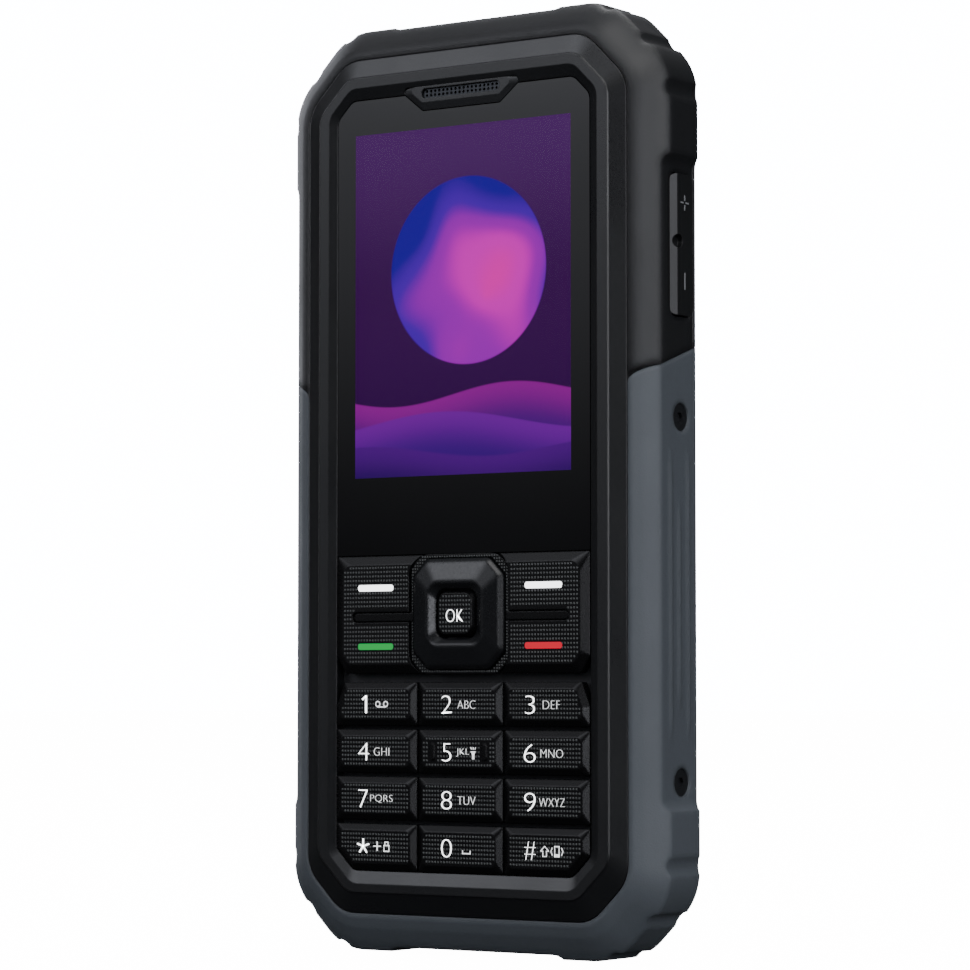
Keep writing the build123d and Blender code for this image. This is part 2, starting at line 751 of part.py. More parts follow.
with BuildPart() as lower_shell:
    add(shell_block(SKIRT_INSET, 0))
    for side in (-1, 1):
        for crest_depth, (crest_low, crest_high) in CREST_ENDS.items():
            add(crest(side, crest_depth, crest_low, crest_high))
        screw_places = [(side * y_at(SIDE_SCREW_DEPTH), z) for z in SIDE_SCREW_Z]
        with BuildSketch(beside(side * SIDE_FACE, side)):
            with Locations(*screw_places):
                Circle(SIDE_HEAD_RADIUS + SCREW_CLEAR)
        extrude(amount=-SIDE_HEAD_SINK - SIDE_HEAD_THICK, mode=Mode.SUBTRACT)
        with BuildSketch(beside(side * SIDE_FACE, side)):
            with Locations(*screw_places):
                Circle(SIDE_SHANK_RADIUS + SCREW_CLEAR)
        extrude(amount=-SKIRT_INSET, mode=Mode.SUBTRACT)
    add(flap_room(USB_X, USB_DEPTH, BOTTOM_FACE, -1, USB_FLAP), mode=Mode.SUBTRACT)
    with BuildSketch(end_plane(BOTTOM_FACE, -1)):
        with Locations((USB_X, -y_at(USB_DEPTH))):
            RectangleRounded(USB_OUTER[0] + 2 * USB_FIT, USB_OUTER[1] + 2 * USB_FIT, USB_OUTER[1] / 2)
        with Locations((MICROPHONE_PLACE[0], -y_at(MICROPHONE_DEPTH))):
            Circle(MICROPHONE_HOLE)
    extrude(amount=-SKIRT_INSET, mode=Mode.SUBTRACT)
finish(lower_shell, "lower_shell")

# Front housing: the black upper shell and the wall behind the keys and the display
with BuildPart() as front_housing:
    add(envelope.part)
    with BuildSketch(facing(BACK_DEPTH)):
        with Locations((0, BODY.top / 2)):
            Rectangle(2 * BODY.half_width, BODY.top)
    extrude(amount=BACK_DEPTH - PARTING_DEPTH, mode=Mode.SUBTRACT)
    extrude(outline_face(SEAM, BEZEL_BACK), amount=BEZEL_BACK + RIM_PROUD, mode=Mode.SUBTRACT)
    add(shell_room, mode=Mode.SUBTRACT)
    add(hollow.part, mode=Mode.SUBTRACT)
    wall_thick = BOARD_DEPTH - BEZEL_BACK
    keypad_opening = outline_part(
        inset(WINDOW, -KEY_OPENING_LAP), 0, GLASS_BOTTOM + KEY_OPENING_LAP, BOARD_DEPTH
    )
    extrude(keypad_opening, amount=wall_thick, mode=Mode.SUBTRACT)
    tray_room = 2 * (PANEL_FIT + TRAY_LIP + PANEL_FIT)
    add(
        slab(PANEL_WIDTH + tray_room, PANEL_HEIGHT + 2 * PANEL_FIT, 0, PANEL_Z, BOARD_DEPTH, BEZEL_BACK),
        mode=Mode.SUBTRACT,
    )
    add(
        slab(
            RECEIVER_WIDTH + 2 * PANEL_FIT,
            RECEIVER_HEIGHT + 2 * PANEL_FIT,
            0,
            RECEIVER_Z,
            BOARD_DEPTH,
            BEZEL_BACK,
        ),
        mode=Mode.SUBTRACT,
    )
    for side in (-1, 1):
        for z in HOUSING_SCREW_Z:
            add(disc(HOUSING_BOSS_RADIUS, side * HOUSING_SCREW_X, z, PARTING_DEPTH, BOARD_DEPTH))
            add(
                disc(
                    HOUSING_SHANK_RADIUS + THREAD_CLEAR,
                    side * HOUSING_SCREW_X,
                    z,
                    PARTING_DEPTH,
                    HOUSING_SCREW_END - SCREW_CLEAR,
                ),
                mode=Mode.SUBTRACT,
            )
        boss_places = [(side * y_at(SIDE_SCREW_DEPTH), z) for z in SIDE_SCREW_Z]
        with BuildSketch(beside(side * HOLLOW.half_width, side)):
            with Locations(*boss_places):
                Circle(SIDE_BOSS_RADIUS)
        extrude(amount=-SIDE_BOSS_LENGTH)
        with BuildSketch(beside(side * SIDE_FACE, side)):
            with Locations(*boss_places):
                Circle(SIDE_SHANK_RADIUS + THREAD_CLEAR)
        extrude(amount=-(SIDE_FACE - HOLLOW.half_width + SIDE_BOSS_LENGTH), mode=Mode.SUBTRACT)
    volume_y = y_at(VOLUME_DEPTH)
    volume_floor = SIDE_FACE + VOLUME_PROUD - VOLUME_THICK - VOLUME_FLOAT
    with BuildSketch(beside(volume_floor)):
        with Locations((volume_y, VOLUME_Z)):
            RectangleRounded(
                VOLUME_WIDTH + 2 * VOLUME_CLEAR,
                VOLUME_LENGTH + 2 * VOLUME_CLEAR,
                VOLUME_CORNER + VOLUME_CLEAR,
            )
    extrude(amount=BODY.half_width - volume_floor, mode=Mode.SUBTRACT)
    with BuildSketch(beside(volume_floor)):
        with Locations((volume_y, VOLUME_Z - VOLUME_NUB_PLACE), (volume_y, VOLUME_Z + VOLUME_NUB_PLACE)):
            Circle(VOLUME_NUB_RADIUS + VOLUME_NUB_CLEAR)
    extrude(amount=HOLLOW.half_width - volume_floor, mode=Mode.SUBTRACT)
    add(flap_room(JACK_X, JACK_DEPTH, TOP_FACE, 1, JACK_FLAP), mode=Mode.SUBTRACT)
    top_wall = TOP_FACE - HOLLOW_END.top
    with BuildSketch(end_plane(TOP_FACE, 1)):
        with Locations((JACK_X, y_at(JACK_DEPTH))):
            Circle(JACK_NOSE + JACK_FIT)
        with Locations((TORCH_X, y_at(TORCH_DEPTH))):
            RectangleRounded(TORCH_SIZE[0] + 2 * TORCH_FIT, TORCH_SIZE[1] + 2 * TORCH_FIT, TORCH_ROUND)
    extrude(amount=-top_wall, mode=Mode.SUBTRACT)
    with BuildSketch(end_plane(BOTTOM_FACE, -1)):
        with Locations((USB_X, -y_at(USB_DEPTH))):
            RectangleRounded(USB_OUTER[0] + 2 * USB_FIT, USB_OUTER[1] + 2 * USB_FIT, USB_OUTER[1] / 2)
        with Locations((MICROPHONE_PLACE[0], -y_at(MICROPHONE_DEPTH))):
            Circle(MICROPHONE_HOLE)
    extrude(amount=-(HOLLOW_END.bottom - BOTTOM_FACE), mode=Mode.SUBTRACT)
finish(front_housing, "front_housing")


def tab_points(low, grow):
    """Corners of the tab, whose sides lean outwards from its lower edge."""
    high = RIM_INNER.top - TAB_BELOW_RIM
    half = TAB_HALF + grow * hypot(1, TAB_SLOPE) - grow * TAB_SLOPE
    wide = half + TAB_SLOPE * (high - low + grow)
    return [(-half, low - grow), (half, low - grow), (wide, high), (-wide, high)]


# Front bezel: the ring round the window, with a ledge for the glass
with BuildPart() as front_bezel:
    extrude(outline_face(inset(SEAM, SHELL_FIT), BEZEL_BACK), amount=BEZEL_BACK + RIM_PROUD)
    add(envelope.part, mode=Mode.INTERSECT)
    extrude(outline_face(WINDOW, GLASS_THICK), amount=GLASS_THICK + RIM_PROUD, mode=Mode.SUBTRACT)
    loft([outline_face(WINDOW, 0), outline_face(RIM_INNER, -RIM_PROUD)], ruled=True, mode=Mode.SUBTRACT)
    extrude(
        outline_part(WINDOW, 0, GLASS_BOTTOM, BEZEL_BACK), amount=BEZEL_BACK, mode=Mode.SUBTRACT
    )
    mat_room = outline_part(
        inset(WINDOW, -MAT_LAP - MAT_CLEAR), 0, GLASS_BOTTOM + MAT_LAP + MAT_CLEAR, BEZEL_BACK
    )
    extrude(mat_room, amount=MAT_THICK, mode=Mode.SUBTRACT)
    add(
        slab(
            ACTIVE_WIDTH + 2 * LEDGE_MARGIN,
            ACTIVE_HEIGHT + 2 * LEDGE_MARGIN,
            0,
            ACTIVE_Z,
            BEZEL_BACK,
            GLASS_THICK,
        ),
        mode=Mode.SUBTRACT,
    )
    add(
        slab(PANEL_WIDTH + tray_room, PANEL_HEIGHT + 2 * PANEL_FIT, 0, PANEL_Z, BEZEL_BACK, PANEL_DEPTH),
        mode=Mode.SUBTRACT,
    )
    add(slab(SLOT_WIDTH, SLOT_HEIGHT, 0, SLOT_Z, BEZEL_BACK, GLASS_THICK), mode=Mode.SUBTRACT)
    tab_outline = rounded_face(tab_points(TAB_BOTTOM, 0), TAB_ROUND, GLASS_THICK)
    extrude(tab_outline, amount=GLASS_THICK + RIM_PROUD, mode=Mode.SUBTRACT)
finish(front_bezel, "front_bezel")


# Earpiece: a raised tab with a slot, a perforated strip and the receiver behind it
with BuildPart() as earpiece_tab:
    extrude(tab_outline, amount=GLASS_THICK)
    tab_foot = rounded_face(tab_points(TAB_BOTTOM, 0), TAB_ROUND, 0)
    tab_face = rounded_face(tab_points(TAB_BOTTOM + TAB_CHAMFER, 0), TAB_ROUND, -TAB_PROUD)
    loft([tab_foot, tab_face], ruled=True)
    with BuildSketch(facing(GLASS_THICK)):
        with Locations((0, SLOT_Z)):
            SlotOverall(SLOT_WIDTH, SLOT_HEIGHT)
    extrude(amount=GLASS_THICK + TAB_PROUD, mode=Mode.SUBTRACT)
finish(earpiece_tab, "earpiece_tab")

with BuildPart() as earpiece_grille:
    with BuildSketch(facing(GRILLE_DEPTH + GRILLE_THICK)):
        with Locations((0, SLOT_Z)):
            SlotOverall(SLOT_WIDTH - 2 * GRILLE_FIT, SLOT_HEIGHT - 2 * GRILLE_FIT)
            with GridLocations(GRILLE_PITCH, GRILLE_PITCH * GRILLE_ROW_SHARE, GRILLE_COLUMNS, 2):
                Circle(GRILLE_HOLE / 2, mode=Mode.SUBTRACT)
    extrude(amount=GRILLE_THICK)
finish(earpiece_grille, "earpiece_grille")

with BuildPart() as earpiece_receiver:
    add(slab(RECEIVER_WIDTH, RECEIVER_HEIGHT, 0, RECEIVER_Z, BOARD_DEPTH, BEZEL_BACK, RECEIVER_ROUND))
finish(earpiece_receiver, "earpiece_receiver")

# Display: cover glass, panel and the metal tray behind it
with BuildPart() as display_glass:
    glass_outline = inset(WINDOW, GLASS_GAP)
    extrude(outline_part(glass_outline, GLASS_BOTTOM, glass_outline.top, GLASS_THICK), amount=GLASS_THICK)
    tab_room = rounded_face(tab_points(TAB_BOTTOM, GLASS_GAP), TAB_ROUND, GLASS_THICK)
    extrude(tab_room, amount=GLASS_THICK, mode=Mode.SUBTRACT)
finish(display_glass, "display_glass")

with BuildPart() as display_panel:
    add(slab(PANEL_WIDTH, PANEL_HEIGHT, 0, PANEL_Z, TRAY_DEPTH, PANEL_DEPTH))
finish(display_panel, "display_panel")

with BuildPart() as display_tray:
    add(slab(PANEL_WIDTH, PANEL_HEIGHT, 0, PANEL_Z, BOARD_DEPTH, TRAY_DEPTH))
    for side in (-1, 1):
        lip_x = side * (PANEL_WIDTH + TRAY_LIP) / 2
        add(slab(TRAY_LIP, PANEL_HEIGHT, lip_x, PANEL_Z, BOARD_DEPTH, PANEL_DEPTH))
finish(display_tray, "display_tray")


# Keys: each is a cap with bevelled edges on a stem that reaches towards a dome switch
def key_row_top(row):
    """Height of the upper edge of a row of number keys, row 0 being the top one."""
    return LOW_KEY_TOP + (3 - row) * KEY_PITCH


def key_points(column, row):
    """Corners of a number key, anticlockwise, for column -1, 0 or 1."""
    high = key_row_top(row)
    low = high - (LOW_KEY_HEIGHT if row == 3 else KEY_HEIGHT)
    seam = KEY_COLUMN_HALF - KEY_GAP / 2
    if column == 0:
        return [(-seam, low), (seam, low), (seam, high), (-seam, high)]
    near, far = KEY_COLUMN_HALF + KEY_GAP / 2, WINDOW.half_width - KEY_EDGE_GAP
    low_cut = inset(WINDOW, KEY_EDGE_GAP).low_cut
    low_corner = [(far - low_cut, low), (far, low + low_cut)] if row == 3 else [(far, low)]
    high_cut_x, high_cut_z = HIGH_KEY_CUT
    high_corner = [(far, high - high_cut_z), (far - high_cut_x, high)] if row == 0 else [(far, high)]
    points = [(near, low)] + low_corner + high_corner + [(near, high)]
    if column < 0:
        points = [(-x, z) for x, z in reversed(points)]
    return points


def key_centre(column, row):
    """Middle of a number key, across and up."""
    xs = [x for x, _ in key_points(column, row)]
    zs = [z for _, z in key_points(column, row)]
    return (min(xs) + max(xs)) / 2, (min(zs) + max(zs)) / 2


def number_key(label, column, row):
    """One number key with its bevels and its stem."""
    points = key_points(column, row)
    top_points = moved_in(points, [KEY_BEVEL] * len(points))
    shoulder_depth = KEY_BEVEL_DROP - KEY_PROUD
    x, z = key_centre(column, row)
    with BuildPart() as key:
        extrude(rounded_face(points, KEY_CORNER, KEY_SKIRT), amount=KEY_SKIRT - shoulder_depth)
        loft(
            [
                rounded_face(points, KEY_CORNER, shoulder_depth),
                rounded_face(top_points, KEY_TOP_CORNER, -KEY_PROUD),
            ],
            ruled=True,
        )
        add(disc(STEM_RADIUS, x, z, STEM_END, KEY_SKIRT))
        if label == "key_5":
            with BuildSketch(facing(-KEY_PROUD)):
                with Locations((x - MARKER_PLACE, z), (x + MARKER_PLACE, z)):
                    SlotOverall(MARKER_BAR[1], MARKER_BAR[0], rotation=90)
            extrude(amount=MARKER_BAR[2])
    finish(key, label)


KEY_NAMES = (
    ("key_1", "key_2", "key_3"),
    ("key_4", "key_5", "key_6"),
    ("key_7", "key_8", "key_9"),
    ("key_star", "key_0", "key_hash"),
)
for row, names in enumerate(KEY_NAMES):
    for column, name in enumerate(names):
        number_key(name, column - 1, row)


def bar_slot(clear, depth, front, reach):
    """Bar across the rocker keys, with round ends."""
    with BuildPart() as bar:
        with BuildSketch(facing(depth)):
            with Locations((0, NAV_Z - BAR_DROP)):
                SlotOverall(2 * (reach + clear), BAR_HEIGHT + 2 * clear)
        extrude(amount=depth - front)
    return bar.part


def rocker_key(label, side):
    """One rocker key beside the pad: it tips up and down about the bar that crosses it."""
    near, far = FRAME_HALF_WIDTH - FRAME_CORNER, WINDOW.half_width - KEY_EDGE_GAP
    cut_x, cut_z = NAV_CUT
    outer = [(far - cut_x, NAV_BOTTOM), (far, NAV_BOTTOM + cut_z), (far, NAV_TOP)]
    points = [(near, NAV_BOTTOM)] + outer + [(near, NAV_TOP)]
    top_points = moved_in(points, [WING_BEVEL] * 4 + [0])
    if side < 0:
        points = [(-x, z) for x, z in reversed(points)]
        top_points = [(-x, z) for x, z in reversed(top_points)]
    shoulder_depth = WING_BEVEL_DROP - KEY_PROUD
    with BuildPart() as key:
        extrude(rounded_face(points, KEY_CORNER, KEY_SKIRT), amount=KEY_SKIRT - shoulder_depth)
        loft(
            [
                rounded_face(points, KEY_CORNER, shoulder_depth),
                rounded_face(top_points, WING_TOP_CORNER, -KEY_PROUD),
            ],
            ruled=True,
        )
        add(
            slab(
                2 * (FRAME_HALF_WIDTH + FRAME_CLEAR),
                2 * (FRAME_HALF_HEIGHT + FRAME_CLEAR),
                0,
                NAV_Z,
                KEY_SKIRT,
                -KEY_PROUD,
                FRAME_CORNER + FRAME_CLEAR,
            ),
            mode=Mode.SUBTRACT,
        )
        add(bar_slot(BAR_CLEAR, KEY_SKIRT, -KEY_PROUD, BAR_REACH), mode=Mode.SUBTRACT)
        for up in (-1, 1):
            add(disc(STEM_RADIUS, side * WING_STEM_X, NAV_Z + up * WING_STEM_Z, STEM_END, KEY_SKIRT))
    finish(key, label)


rocker_key("left_rocker_key", -1)
rocker_key("right_rocker_key", 1)

# Navigation pad: a frame with two bars, a rocking web, the ring and the key in its eye
RING_HALF_WIDTH = FRAME_HALF_WIDTH - FRAME_RIM - RING_CLEAR
RING_HALF_HEIGHT = FRAME_HALF_HEIGHT - FRAME_RIM - RING_CLEAR


def cut_corner_points(half_width, half_height, cut):
    """Corners of a rectangle with cut corners round the middle of the pad."""
    w, h = half_width, half_height
    around = [(-w + cut, -h), (w - cut, -h), (w, -h + cut), (w, h - cut)]
    return [(x, NAV_Z + z) for x, z in around + [(-x, -z) for x, z in around]]


RING_POINTS = cut_corner_points(RING_HALF_WIDTH, RING_HALF_HEIGHT, RING_CUT)
NUB_PLACES = [
    (PAD_NUB_PLACE, NAV_Z),
    (-PAD_NUB_PLACE, NAV_Z),
    (0, NAV_Z + PAD_NUB_PLACE),
    (0, NAV_Z - PAD_NUB_PLACE),
]
WEB_BACK = RING_BASE_DEPTH + WEB_THICK

with BuildPart() as nav_frame:
    add(
        slab(
            2 * FRAME_HALF_WIDTH, 2 * FRAME_HALF_HEIGHT, 0, NAV_Z, MAT_DEPTH, -FRAME_PROUD, FRAME_CORNER
        )
    )
    add(bar_slot(0, MAT_DEPTH, BAR_SINK - KEY_PROUD, BAR_REACH))
    ring_room = rounded_face(moved_in(RING_POINTS, [-RING_CLEAR] * 8), RING_ROUND, WEB_BACK)
    extrude(ring_room, amount=WEB_BACK + KEY_PROUD, mode=Mode.SUBTRACT)
    add(disc(STEM_RADIUS + MAT_HOLE_CLEAR, 0, NAV_Z, MAT_DEPTH, WEB_BACK), mode=Mode.SUBTRACT)
    for x, z in NUB_PLACES:
        add(disc(PAD_NUB_RADIUS + PAD_NUB_CLEAR, x, z, MAT_DEPTH, WEB_BACK), mode=Mode.SUBTRACT)
finish(nav_frame, "nav_frame")

with BuildPart() as dpad_web:
    web_fall = WEB_HALF * tan(radians(WEB_TILT))
    with BuildSketch(Plane.XY.offset(NAV_Z - WEB_HALF)):
        with BuildLine():
            Polyline(
                (0, y_at(RING_BASE_DEPTH)),
                (WEB_HALF, y_at(RING_BASE_DEPTH + web_fall)),
                (WEB_HALF, y_at(WEB_BACK)),
                (-WEB_HALF, y_at(WEB_BACK)),
                (-WEB_HALF, y_at(RING_BASE_DEPTH + web_fall)),
                close=True,
            )
        make_face()
    extrude(amount=2 * WEB_HALF)
    with BuildSketch(beside(-WEB_HALF)):
        with BuildLine():
            Polyline(
                (y_at(WEB_BACK), NAV_Z),
                (y_at(WEB_BACK - web_fall), NAV_Z + WEB_HALF),
                (y_at(RING_BASE_DEPTH), NAV_Z + WEB_HALF),
                (y_at(RING_BASE_DEPTH), NAV_Z - WEB_HALF),
                (y_at(WEB_BACK - web_fall), NAV_Z - WEB_HALF),
                close=True,
            )
        make_face()
    extrude(amount=2 * WEB_HALF, mode=Mode.INTERSECT)
    add(disc(STEM_RADIUS + MAT_HOLE_CLEAR, 0, NAV_Z, WEB_BACK, RING_BASE_DEPTH), mode=Mode.SUBTRACT)
finish(dpad_web, "dpad_web")

with BuildPart() as dpad_ring:
    ring_bevel_points = moved_in(RING_POINTS, [RING_BEVEL] * 8)
    eye_half_width, eye_half_height = RING_EYE[0] / 2, RING_EYE[1] / 2
    crest_half_width, crest_half_height = eye_half_width + RING_CREST, eye_half_height + RING_CREST
    crest_points = cut_corner_points(crest_half_width, crest_half_height, RING_CREST_CUT)
    ring_edge = -RING_EDGE_RISE
    ring_shoulder = ring_edge - RING_BEVEL_RISE
    extrude(rounded_face(RING_POINTS, RING_ROUND, RING_BASE_DEPTH), amount=RING_BASE_DEPTH - ring_edge)
    shoulder_face = rounded_face(ring_bevel_points, RING_ROUND, ring_shoulder)
    loft([rounded_face(RING_POINTS, RING_ROUND, ring_edge), shoulder_face], ruled=True)
    loft([shoulder_face, rounded_face(crest_points, RING_ROUND, -RING_PROUD)], ruled=True)
    ok_room = slab(
        OK_BASE[0] + 2 * OK_CLEAR,
        OK_BASE[1] + 2 * OK_CLEAR,
        0,
        NAV_Z,
        RING_BASE_DEPTH,
        -RING_PROUD,
        OK_CORNER + OK_CLEAR,
    )
    add(ok_room, mode=Mode.SUBTRACT)
    with BuildSketch(facing(-RING_EYE_FOOT)) as eye_foot:
        with Locations((0, NAV_Z)):
            RectangleRounded(OK_BASE[0] + 2 * OK_CLEAR, OK_BASE[1] + 2 * OK_CLEAR, OK_CORNER + OK_CLEAR)
    with BuildSketch(facing(-RING_PROUD)) as eye_mouth:
        with Locations((0, NAV_Z)):
            RectangleRounded(*RING_EYE, RING_EYE_ROUND)
    loft([eye_foot.sketch, eye_mouth.sketch], ruled=True, mode=Mode.SUBTRACT)
    for x, z in NUB_PLACES:
        add(disc(PAD_NUB_RADIUS, x, z, STEM_END, RING_BASE_DEPTH))
finish(dpad_ring, "dpad_ring")

with BuildPart() as ok_key:
    ok_back = RING_BASE_DEPTH - KEY_TRAVEL - OK_BACK_GAP
    ok_edge = OK_BEVEL_DROP - OK_PROUD
    add(slab(*OK_BASE, 0, NAV_Z, ok_back, ok_edge, OK_CORNER))
    with BuildSketch(facing(ok_edge)) as ok_foot:
        with Locations((0, NAV_Z)):
            RectangleRounded(*OK_BASE, OK_CORNER)
    with BuildSketch(facing(-OK_PROUD)) as ok_face:
        with Locations((0, NAV_Z)):
            RectangleRounded(*OK_TOP, OK_CORNER)
    loft([ok_foot.sketch, ok_face.sketch], ruled=True)
    add(disc(STEM_RADIUS, 0, NAV_Z, STEM_END, ok_back))
finish(ok_key, "ok_key")

# Keypad mat, with ribs that rest on the board, and the domes
STEM_PLACES = [key_centre(column, row) for column in (-1, 0, 1) for row in range(4)]
STEM_PLACES += [(side * WING_STEM_X, NAV_Z + up * WING_STEM_Z) for side in (-1, 1) for up in (-1, 1)]
STEM_PLACES += [(0, NAV_Z)]

with BuildPart() as keypad_mat:
    extrude(outline_part(inset(WINDOW, -MAT_LAP), 0, GLASS_BOTTOM + MAT_LAP, BEZEL_BACK), amount=MAT_THICK)
    seam_gap = KEY_PITCH - KEY_HEIGHT
    rib_half = WINDOW.half_width - KEY_EDGE_GAP
    for row in range(4):
        rib_z = key_row_top(row) + seam_gap / 2
        add(slab(2 * rib_half, MAT_RIB, 0, rib_z, BOARD_DEPTH, BEZEL_BACK))
    rib_low, rib_high = WINDOW_BOTTOM, key_row_top(0)
    for side in (-1, 1):
        rib_x = side * KEY_COLUMN_HALF
        add(slab(MAT_RIB, rib_high - rib_low, rib_x, (rib_low + rib_high) / 2, BOARD_DEPTH, BEZEL_BACK))
    for x, z in STEM_PLACES:
        add(disc(STEM_RADIUS + MAT_HOLE_CLEAR, x, z, BEZEL_BACK, MAT_DEPTH), mode=Mode.SUBTRACT)
    for x, z in NUB_PLACES:
        add(disc(PAD_NUB_RADIUS + PAD_NUB_CLEAR, x, z, BEZEL_BACK, MAT_DEPTH), mode=Mode.SUBTRACT)
finish(keypad_mat, "keypad_mat")

with BuildPart() as dome_switches:
    for x, z in STEM_PLACES + NUB_PLACES:
        add(disc(DOME_RADIUS, x, z, BOARD_DEPTH, DOME_DEPTH))
finish(dome_switches, "dome_switches")

# Main board and what it carries
BOARD = inset(SEAM, BOARD_INSET)

with BuildPart() as main_board:
    extrude(outline_face(BOARD, BOARD_BACK), amount=BOARD_THICK)
    notch_radius = HOUSING_BOSS_RADIUS + BOARD_NOTCH_CLEAR
    for side in (-1, 1):
        for z in HOUSING_SCREW_Z:
            x = side * HOUSING_SCREW_X
            add(disc(notch_radius, x, z, BOARD_BACK, BOARD_DEPTH), mode=Mode.SUBTRACT)
            notch_x = x + side * notch_radius
            add(
                slab(2 * notch_radius, 2 * notch_radius, notch_x, z, BOARD_BACK, BOARD_DEPTH),
                mode=Mode.SUBTRACT,
            )
finish(main_board, "main_board")

with BuildPart() as shield_can:
    shield_low, shield_high = SHIELD_ENDS
    shield_z = (shield_low + shield_high) / 2
    shield_height = shield_high - shield_low
    shield_back = BOARD_BACK + SHIELD_THICK
    add(slab(SHIELD_WIDTH, shield_height, 0, shield_z, shield_back, BOARD_BACK, SHIELD_ROUND))
    shield_inner = slab(
        SHIELD_WIDTH - 2 * SHIELD_WALL,
        shield_height - 2 * SHIELD_WALL,
        0,
        shield_z,
        shield_back - SHIELD_WALL,
        BOARD_BACK,
    )
    add(shield_inner, mode=Mode.SUBTRACT)
finish(shield_can, "shield_can")

with BuildPart() as sim_holder:
    add(slab(SIM_SIZE[0], SIM_SIZE[1], *SIM_PLACE, BOARD_BACK + SIM_SIZE[2], BOARD_BACK))
    sim_slot_back = BOARD_BACK + SIM_SIZE[2] - SIM_WALL
    add(
        slab(
            SIM_SIZE[0] - 2 * SIM_WALL,
            SIM_SIZE[1],
            SIM_PLACE[0],
            SIM_PLACE[1] - SIM_WALL,
            sim_slot_back,
            sim_slot_back - SIM_CARD,
        ),
        mode=Mode.SUBTRACT,
    )
finish(sim_holder, "sim_holder")

with BuildPart() as microphone:
    add(slab(*MICROPHONE_SIZE[:2], *MICROPHONE_PLACE, BOARD_BACK + MICROPHONE_SIZE[2], BOARD_BACK))
finish(microphone, "microphone")

with BuildPart() as antenna:
    add(slab(*ANTENNA_SIZE[:2], *ANTENNA_PLACE, BOARD_BACK + ANTENNA_SIZE[2], BOARD_BACK, ANTENNA_ROUND))
finish(antenna, "antenna")

# Sockets and flaps
with BuildPart() as usb_connector:
    with BuildSketch(end_plane(USB_MOUTH, 1)):
        with Locations((USB_X, y_at(USB_DEPTH))):
            RectangleRounded(*USB_OUTER, USB_OUTER[1] / 2 - USB_FLAT)
    extrude(amount=USB_LENGTH)
    with BuildSketch(end_plane(USB_MOUTH, 1)):
        with Locations((USB_X, y_at(USB_DEPTH))):
            inner_height = USB_OUTER[1] - 2 * USB_WALL
            RectangleRounded(USB_OUTER[0] - 2 * USB_WALL, inner_height, inner_height / 2 - USB_FLAT)
            Rectangle(*USB_TONGUE, mode=Mode.SUBTRACT)
    extrude(amount=USB_LENGTH - USB_WALL, mode=Mode.SUBTRACT)
    with BuildSketch(end_plane(USB_MOUTH, 1)):
        with Locations((USB_X, y_at(USB_DEPTH))):
            Rectangle(*USB_TONGUE)
    extrude(amount=USB_TONGUE_SHORT, mode=Mode.SUBTRACT)
finish(usb_connector, "usb_connector")

with BuildPart() as headphone_jack:
    jack_body_top = HOLLOW_END.top
    jack_low = JACK_MOUTH - JACK_LENGTH
    with BuildSketch(end_plane(jack_low, 1)):
        with Locations((JACK_X, y_at(JACK_DEPTH))):
            Rectangle(JACK_BODY, JACK_BODY)
    extrude(amount=jack_body_top - jack_low)
    with BuildSketch(end_plane(jack_body_top, 1)):
        with Locations((JACK_X, y_at(JACK_DEPTH))):
            Circle(JACK_NOSE)
    extrude(amount=JACK_MOUTH - jack_body_top)
    with BuildSketch(end_plane(JACK_MOUTH, 1)):
        with Locations((JACK_X, y_at(JACK_DEPTH))):
            Circle(JACK_BORE)
    extrude(amount=-JACK_LENGTH, mode=Mode.SUBTRACT)
    lead_radius, lead_deep = JACK_LEAD
    with BuildSketch(end_plane(JACK_MOUTH, 1)):
        with Locations((JACK_X, y_at(JACK_DEPTH))):
            Circle(lead_radius)
    extrude(amount=-lead_deep, mode=Mode.SUBTRACT)
finish(headphone_jack, "headphone_jack")

usb_plug_gap = 2 * (USB_WALL + FLAP_PLUG_GAP)
usb_plug = (USB_OUTER[0] - usb_plug_gap, USB_OUTER[1] - usb_plug_gap)
port_flap("usb_flap", USB_X, USB_DEPTH, BOTTOM_FACE, -1, USB_FLAP, usb_plug)
jack_plug = (2 * (JACK_BORE - FLAP_PLUG_GAP),) * 2
port_flap("jack_flap", JACK_X, JACK_DEPTH, TOP_FACE, 1, JACK_FLAP, jack_plug)

with BuildPart() as torch_lens:
    with BuildSketch(end_plane(TOP_FACE, 1)):
        with Locations((TORCH_X, y_at(TORCH_DEPTH))):
            RectangleRounded(*TORCH_SIZE, TORCH_ROUND)
    extrude(amount=-TORCH_LENS_LENGTH)
finish(torch_lens, "torch_lens")

with BuildPart() as torch_led:
    led_top = TOP_FACE - TORCH_LENS_LENGTH - TORCH_GAP
    led_z = led_top - TORCH_LED_SIZE[1] / 2
    add(slab(*TORCH_LED_SIZE, TORCH_X, led_z, BOARD_BACK + TORCH_SIZE[1], BOARD_BACK))
finish(torch_led, "torch_led")

# Rear housing: the back shell, with the battery bay
BAY_LOW = BATTERY_LOW - BATTERY_CLEAR
BAY_HIGH = BATTERY_LOW + BATTERY_HEIGHT + BATTERY_CLEAR + CONTACT_ROOM
BAY_Z = (BAY_LOW + BAY_HIGH) / 2
BAY_HEIGHT = BAY_HIGH - BAY_LOW
BAY_WIDTH = BATTERY_WIDTH + 2 * BATTERY_CLEAR
COVER_HIGH = BAY_HIGH + COVER_LAP
COVER_Z = (COVER_LOW + COVER_HIGH) / 2
COVER_HEIGHT = COVER_HIGH - COVER_LOW
COVER_WIDTH = BAY_WIDTH + 2 * COVER_LAP
CONTACT_Z = BATTERY_LOW + BATTERY_HEIGHT + CONTACT_GAP + CONTACT_THICK / 2
CONTACT_SPAN = (CONTACT_COUNT - 1) * CONTACT_PITCH + CONTACT_WIDTH
COIN_PLACES = [(side * COIN_SCREW_PLACE[0], COIN_SCREW_PLACE[1]) for side in (-1, 1)]
